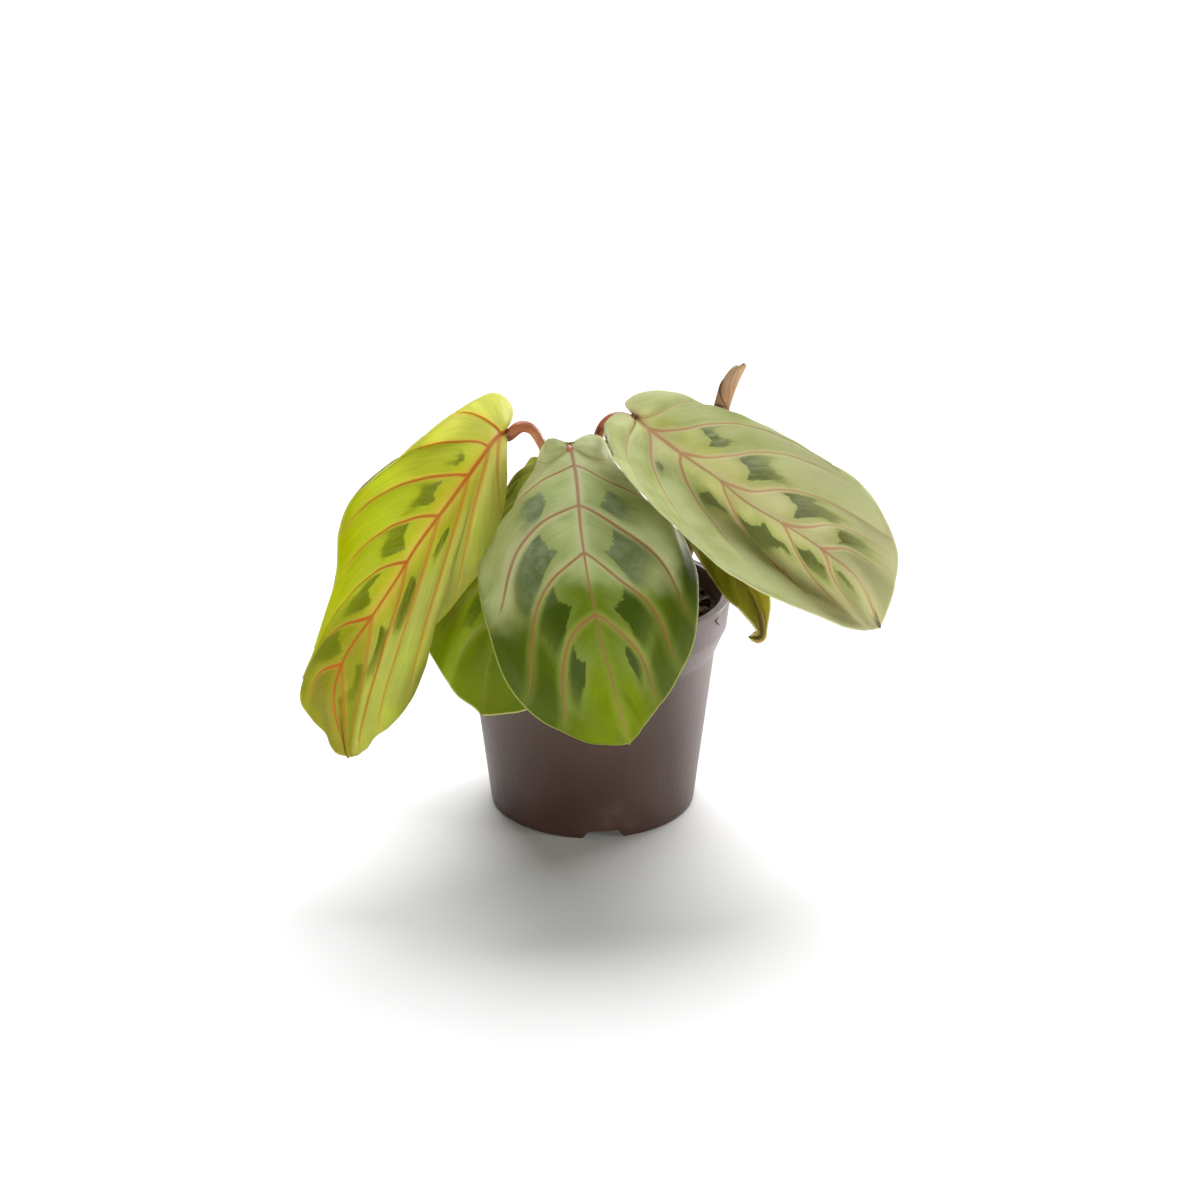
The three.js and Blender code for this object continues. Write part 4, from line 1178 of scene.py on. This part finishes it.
shoots = {
    "stem": {"foot": 30, "top": 49, "split": 44, "radius": 2.1},
    "petiole": {
        "foot": 1.6, "radius": 1.05, "joint": 1.25, "jointFrom": 1.5, "jointLength": 7, "ridges": 0.03,
        "tip": 0.45, "tipLength": 2.5,
        "under": [(-0.3, 1.3), (2.2, 1.1)],  # where it ends below the midrib: how far on, how far down
    },
    "left_shoot": {
        "node": "shoot_left", "at": (-6, 1),
        "petioles": [
            (leftLeaf, [(-6.5, 1.5, 60), (-7.5, 0.5, 72), (-9.4, -2, 79), (-10.4, -4, 82.5),
                        (-12.4, -5.2, 86), (-14.8, -6, 86.9)]),
            (lowLeaf, [(-6.5, -0.5, 60), (-8, -1.5, 70), (-9.5, -3, 76)]),
        ],
    },
    "front_shoot": {
        "node": "shoot_front", "at": (0, -4),
        "petioles": [(frontLeaf, [(-1, -4, 58), (-3, -5.5, 70), (-4, -8, 79)])],
    },
    "right_shoot": {
        "node": "shoot_right", "at": (8, 2),
        "petioles": [
            (rightLeaf, [(5.5, 2, 60), (2.5, 1, 72), (1.2, 0.2, 81), (2.3, 0, 85.4), (5.2, -0.5, 87.3)]),
            (youngLeaf, [(10, 1, 54), (14.5, -1, 60)]),
        ],
    },
}


def stalkRadius(share, length, angles):
    stalk = shoots["petiole"]
    fromTop = (1 - share) * length / mm
    taper = (stalk["foot"] - stalk["radius"]) * (1 - share) ** 3
    onJoint = min(1, max(0, fromTop - stalk["jointFrom"]) / stalk["jointLength"])
    swell = math.sin(math.pi * onJoint) ** 0.7
    end = stalk["tip"] + (1 - stalk["tip"]) * min(1, fromTop / stalk["tipLength"])
    ridges = stalk["ridges"] * np.cos(5 * angles)
    return (stalk["radius"] + taper + (stalk["joint"] - stalk["radius"]) * swell + ridges) * end * mm


def stemRadius(share, length, angles):
    sheath = 0.12 * np.cos(2 * angles + 5 * share) + 0.05 * np.cos(7 * angles)
    return (shoots["stem"]["radius"] * (1 - 0.22 * share**4) + sheath) * mm


def stalkMaterial():
    material, tree, shader = newMaterial("leafStalk")
    place = objectPlace(tree)
    lines = cloud(stretched(place, (1, 1, 0.12)), 1100, 3)
    tone = blend(ease(separated(place, "Z"), 0.046, 0.068), paint("9a9044"), paint("a8613f"))
    tone = blend(ease(cloud(place, 160, 3), 0.4, 0.7, 0, 0.6), tone, paint("c48b63"))
    tone = blend(ease(lines, 0.45, 0.7, 0, 0.45), tone, paint("84422c"))
    finishShader(shader, tone, 0.42)
    feed(shader, {"Subsurface Weight": 0.15, "Subsurface Radius": (0.002, 0.0008, 0.0004),
                  "Subsurface Scale": 0.5})
    relief(shader, lines, 0.00015)
    return material


def makeShoot(name, material):
    shoot = shoots[name]
    stem = shoots["stem"]
    x, y = shoot["at"]
    body = tubePiece(name, [(x, y, stem["foot"]), (x, y, 40), (x, y, stem["top"])], stemRadius, 24, 0.8)
    for leaf, route in shoot["petioles"]:
        base, ahead = np.array(leaf["midrib"][0]), np.array(leaf["midrib"][1])
        way = (ahead - base) / np.linalg.norm(ahead - base)
        under = [tuple(base + way * on - (0, 0, down)) for on, down in shoots["petiole"]["under"]]
        points = [(x, y, stem["split"]), *route, *under]
        stalk = tubePiece("stalk", points, stalkRadius, 20, 0.6)
        fuse = body.modifiers.new("fuse", "BOOLEAN")
        fuse.operation, fuse.object, fuse.solver = "UNION", stalk, "EXACT"
        applyModifiers(body)
        bpy.data.objects.remove(stalk)
    smooth(body)
    finishPiece(body, material, [shoot["node"]])


stalkFinish = stalkMaterial()
for shootName in ("left_shoot", "front_shoot", "right_shoot"):
    makeShoot(shootName, stalkFinish)
print("shoots are made")


rolledLeaf = {
    "route": [(17.8, 0.5, 40), (18, 0.5, 46), (21, 0.3, 59), (23.2, 0, 69), (25.5, 0, 81),
              (27.2, 0, 89.5), (28.8, 0, 95), (30.6, 0, 99)],
    "turns": 1.6, "footRadius": 0.95, "radius": 1.75, "innerShare": 0.76, "wall": 0.28,
    "rows": 110, "columns": 56, "start": 2.4,
    # the leaf narrows to its tip, so its outer edge winds back and leaves a slanted seam: each row is the
    # turns that it loses and where along the leaf
    "unwinds": [(0.45, 0.83, 0.94), (0.15, 0.94, 1)],
    "outerDrop": 0.03, "topLean": 0.018, "topWidth": 0.62, "topLength": 3.5, "topShift": 0.8,
}


def rolledMaterial():
    material, tree, shader = newMaterial("dryLeaf")
    spread, place = mapPlace(tree, "rollMap"), objectPlace(tree)
    lines = cloud(stretched(spread, (46, 3, 1)), 1, 4, 0.6)
    height = separated(place, "Z")
    tone = blend(ease(height, 0.05, 0.085), paint("7c5633"), paint("9d7650"))
    tone = blend(ease(height, 0.091, 0.099), tone, paint("ba9a78"))
    tone = blend(ease(lines, 0.4, 0.65, 0, 0.6), tone, paint("7a5638"))
    tone = blend(ease(cloud(place, 140, 3), 0.5, 0.75, 0, 0.4), tone, paint("b08c64"))
    margin = ease(separated(spread, "X"), 0.965, 0.995, 0, 0.8)
    finishShader(shader, blend(margin, tone, paint("5c3a20")), 0.66)
    relief(shader, lines, 0.0002)
    return material


def makeRolledLeaf():
    roll = rolledLeaf
    at, heading, length = curveThrough(roll["route"])
    shares = np.linspace(0, 1, roll["rows"] + 1)
    turn = np.linspace(0, 1, roll["columns"] + 1)  # from the inner edge to the outer one
    places = np.zeros((len(shares), len(turn), 3))
    across = np.array([1.0, 0, 0])
    for i, share in enumerate(shares):
        wound = roll["turns"]
        for lost, first, last in roll["unwinds"]:
            wound = wound - lost * smoothStep(first, last, share)
        angles = roll["start"] + turn * wound * 2 * math.pi
        lean = roll["topLean"] * np.cos(angles) * smoothStep(0.9, 1, share)
        own = share - roll["outerDrop"] * smoothStep(0.7, 1, turn) + lean
        centre, way = at(own), heading(np.array([share]))[0]
        across = across - way * np.dot(across, way)
        across = across / np.linalg.norm(across)
        other = np.cross(way, across)
        grow = smoothStep(0.25, 0.8, share)
        radius = roll["footRadius"] + (roll["radius"] - roll["footRadius"]) * grow
        fromTop = min(1, (1 - share) * length / (roll["topLength"] * mm))
        close = roll["topWidth"] + (1 - roll["topWidth"]) * math.sqrt(fromTop)
        shift = across * radius * (1 - close) * roll["topShift"] * mm  # so that the right edge stays straight
        centre = centre + shift
        radius = radius * close * (roll["innerShare"] + (1 - roll["innerShare"]) * turn)
        places[i] = centre + (np.outer(np.cos(angles) * radius, across)
                              + np.outer(np.sin(angles) * radius, other)) * mm
    piece = shapedGrid("rolled_leaf", places)
    piece.data.uv_layers[0].name = "rollMap"
    wall = piece.modifiers.new("wall", "SOLIDIFY")
    wall.thickness, wall.offset = roll["wall"] * mm, 0
    applyModifiers(piece)
    smooth(piece)
    finishPiece(piece, rolledMaterial(), ["leaf_rolled_dry"])


makeRolledLeaf()
print("rolled leaf is made")
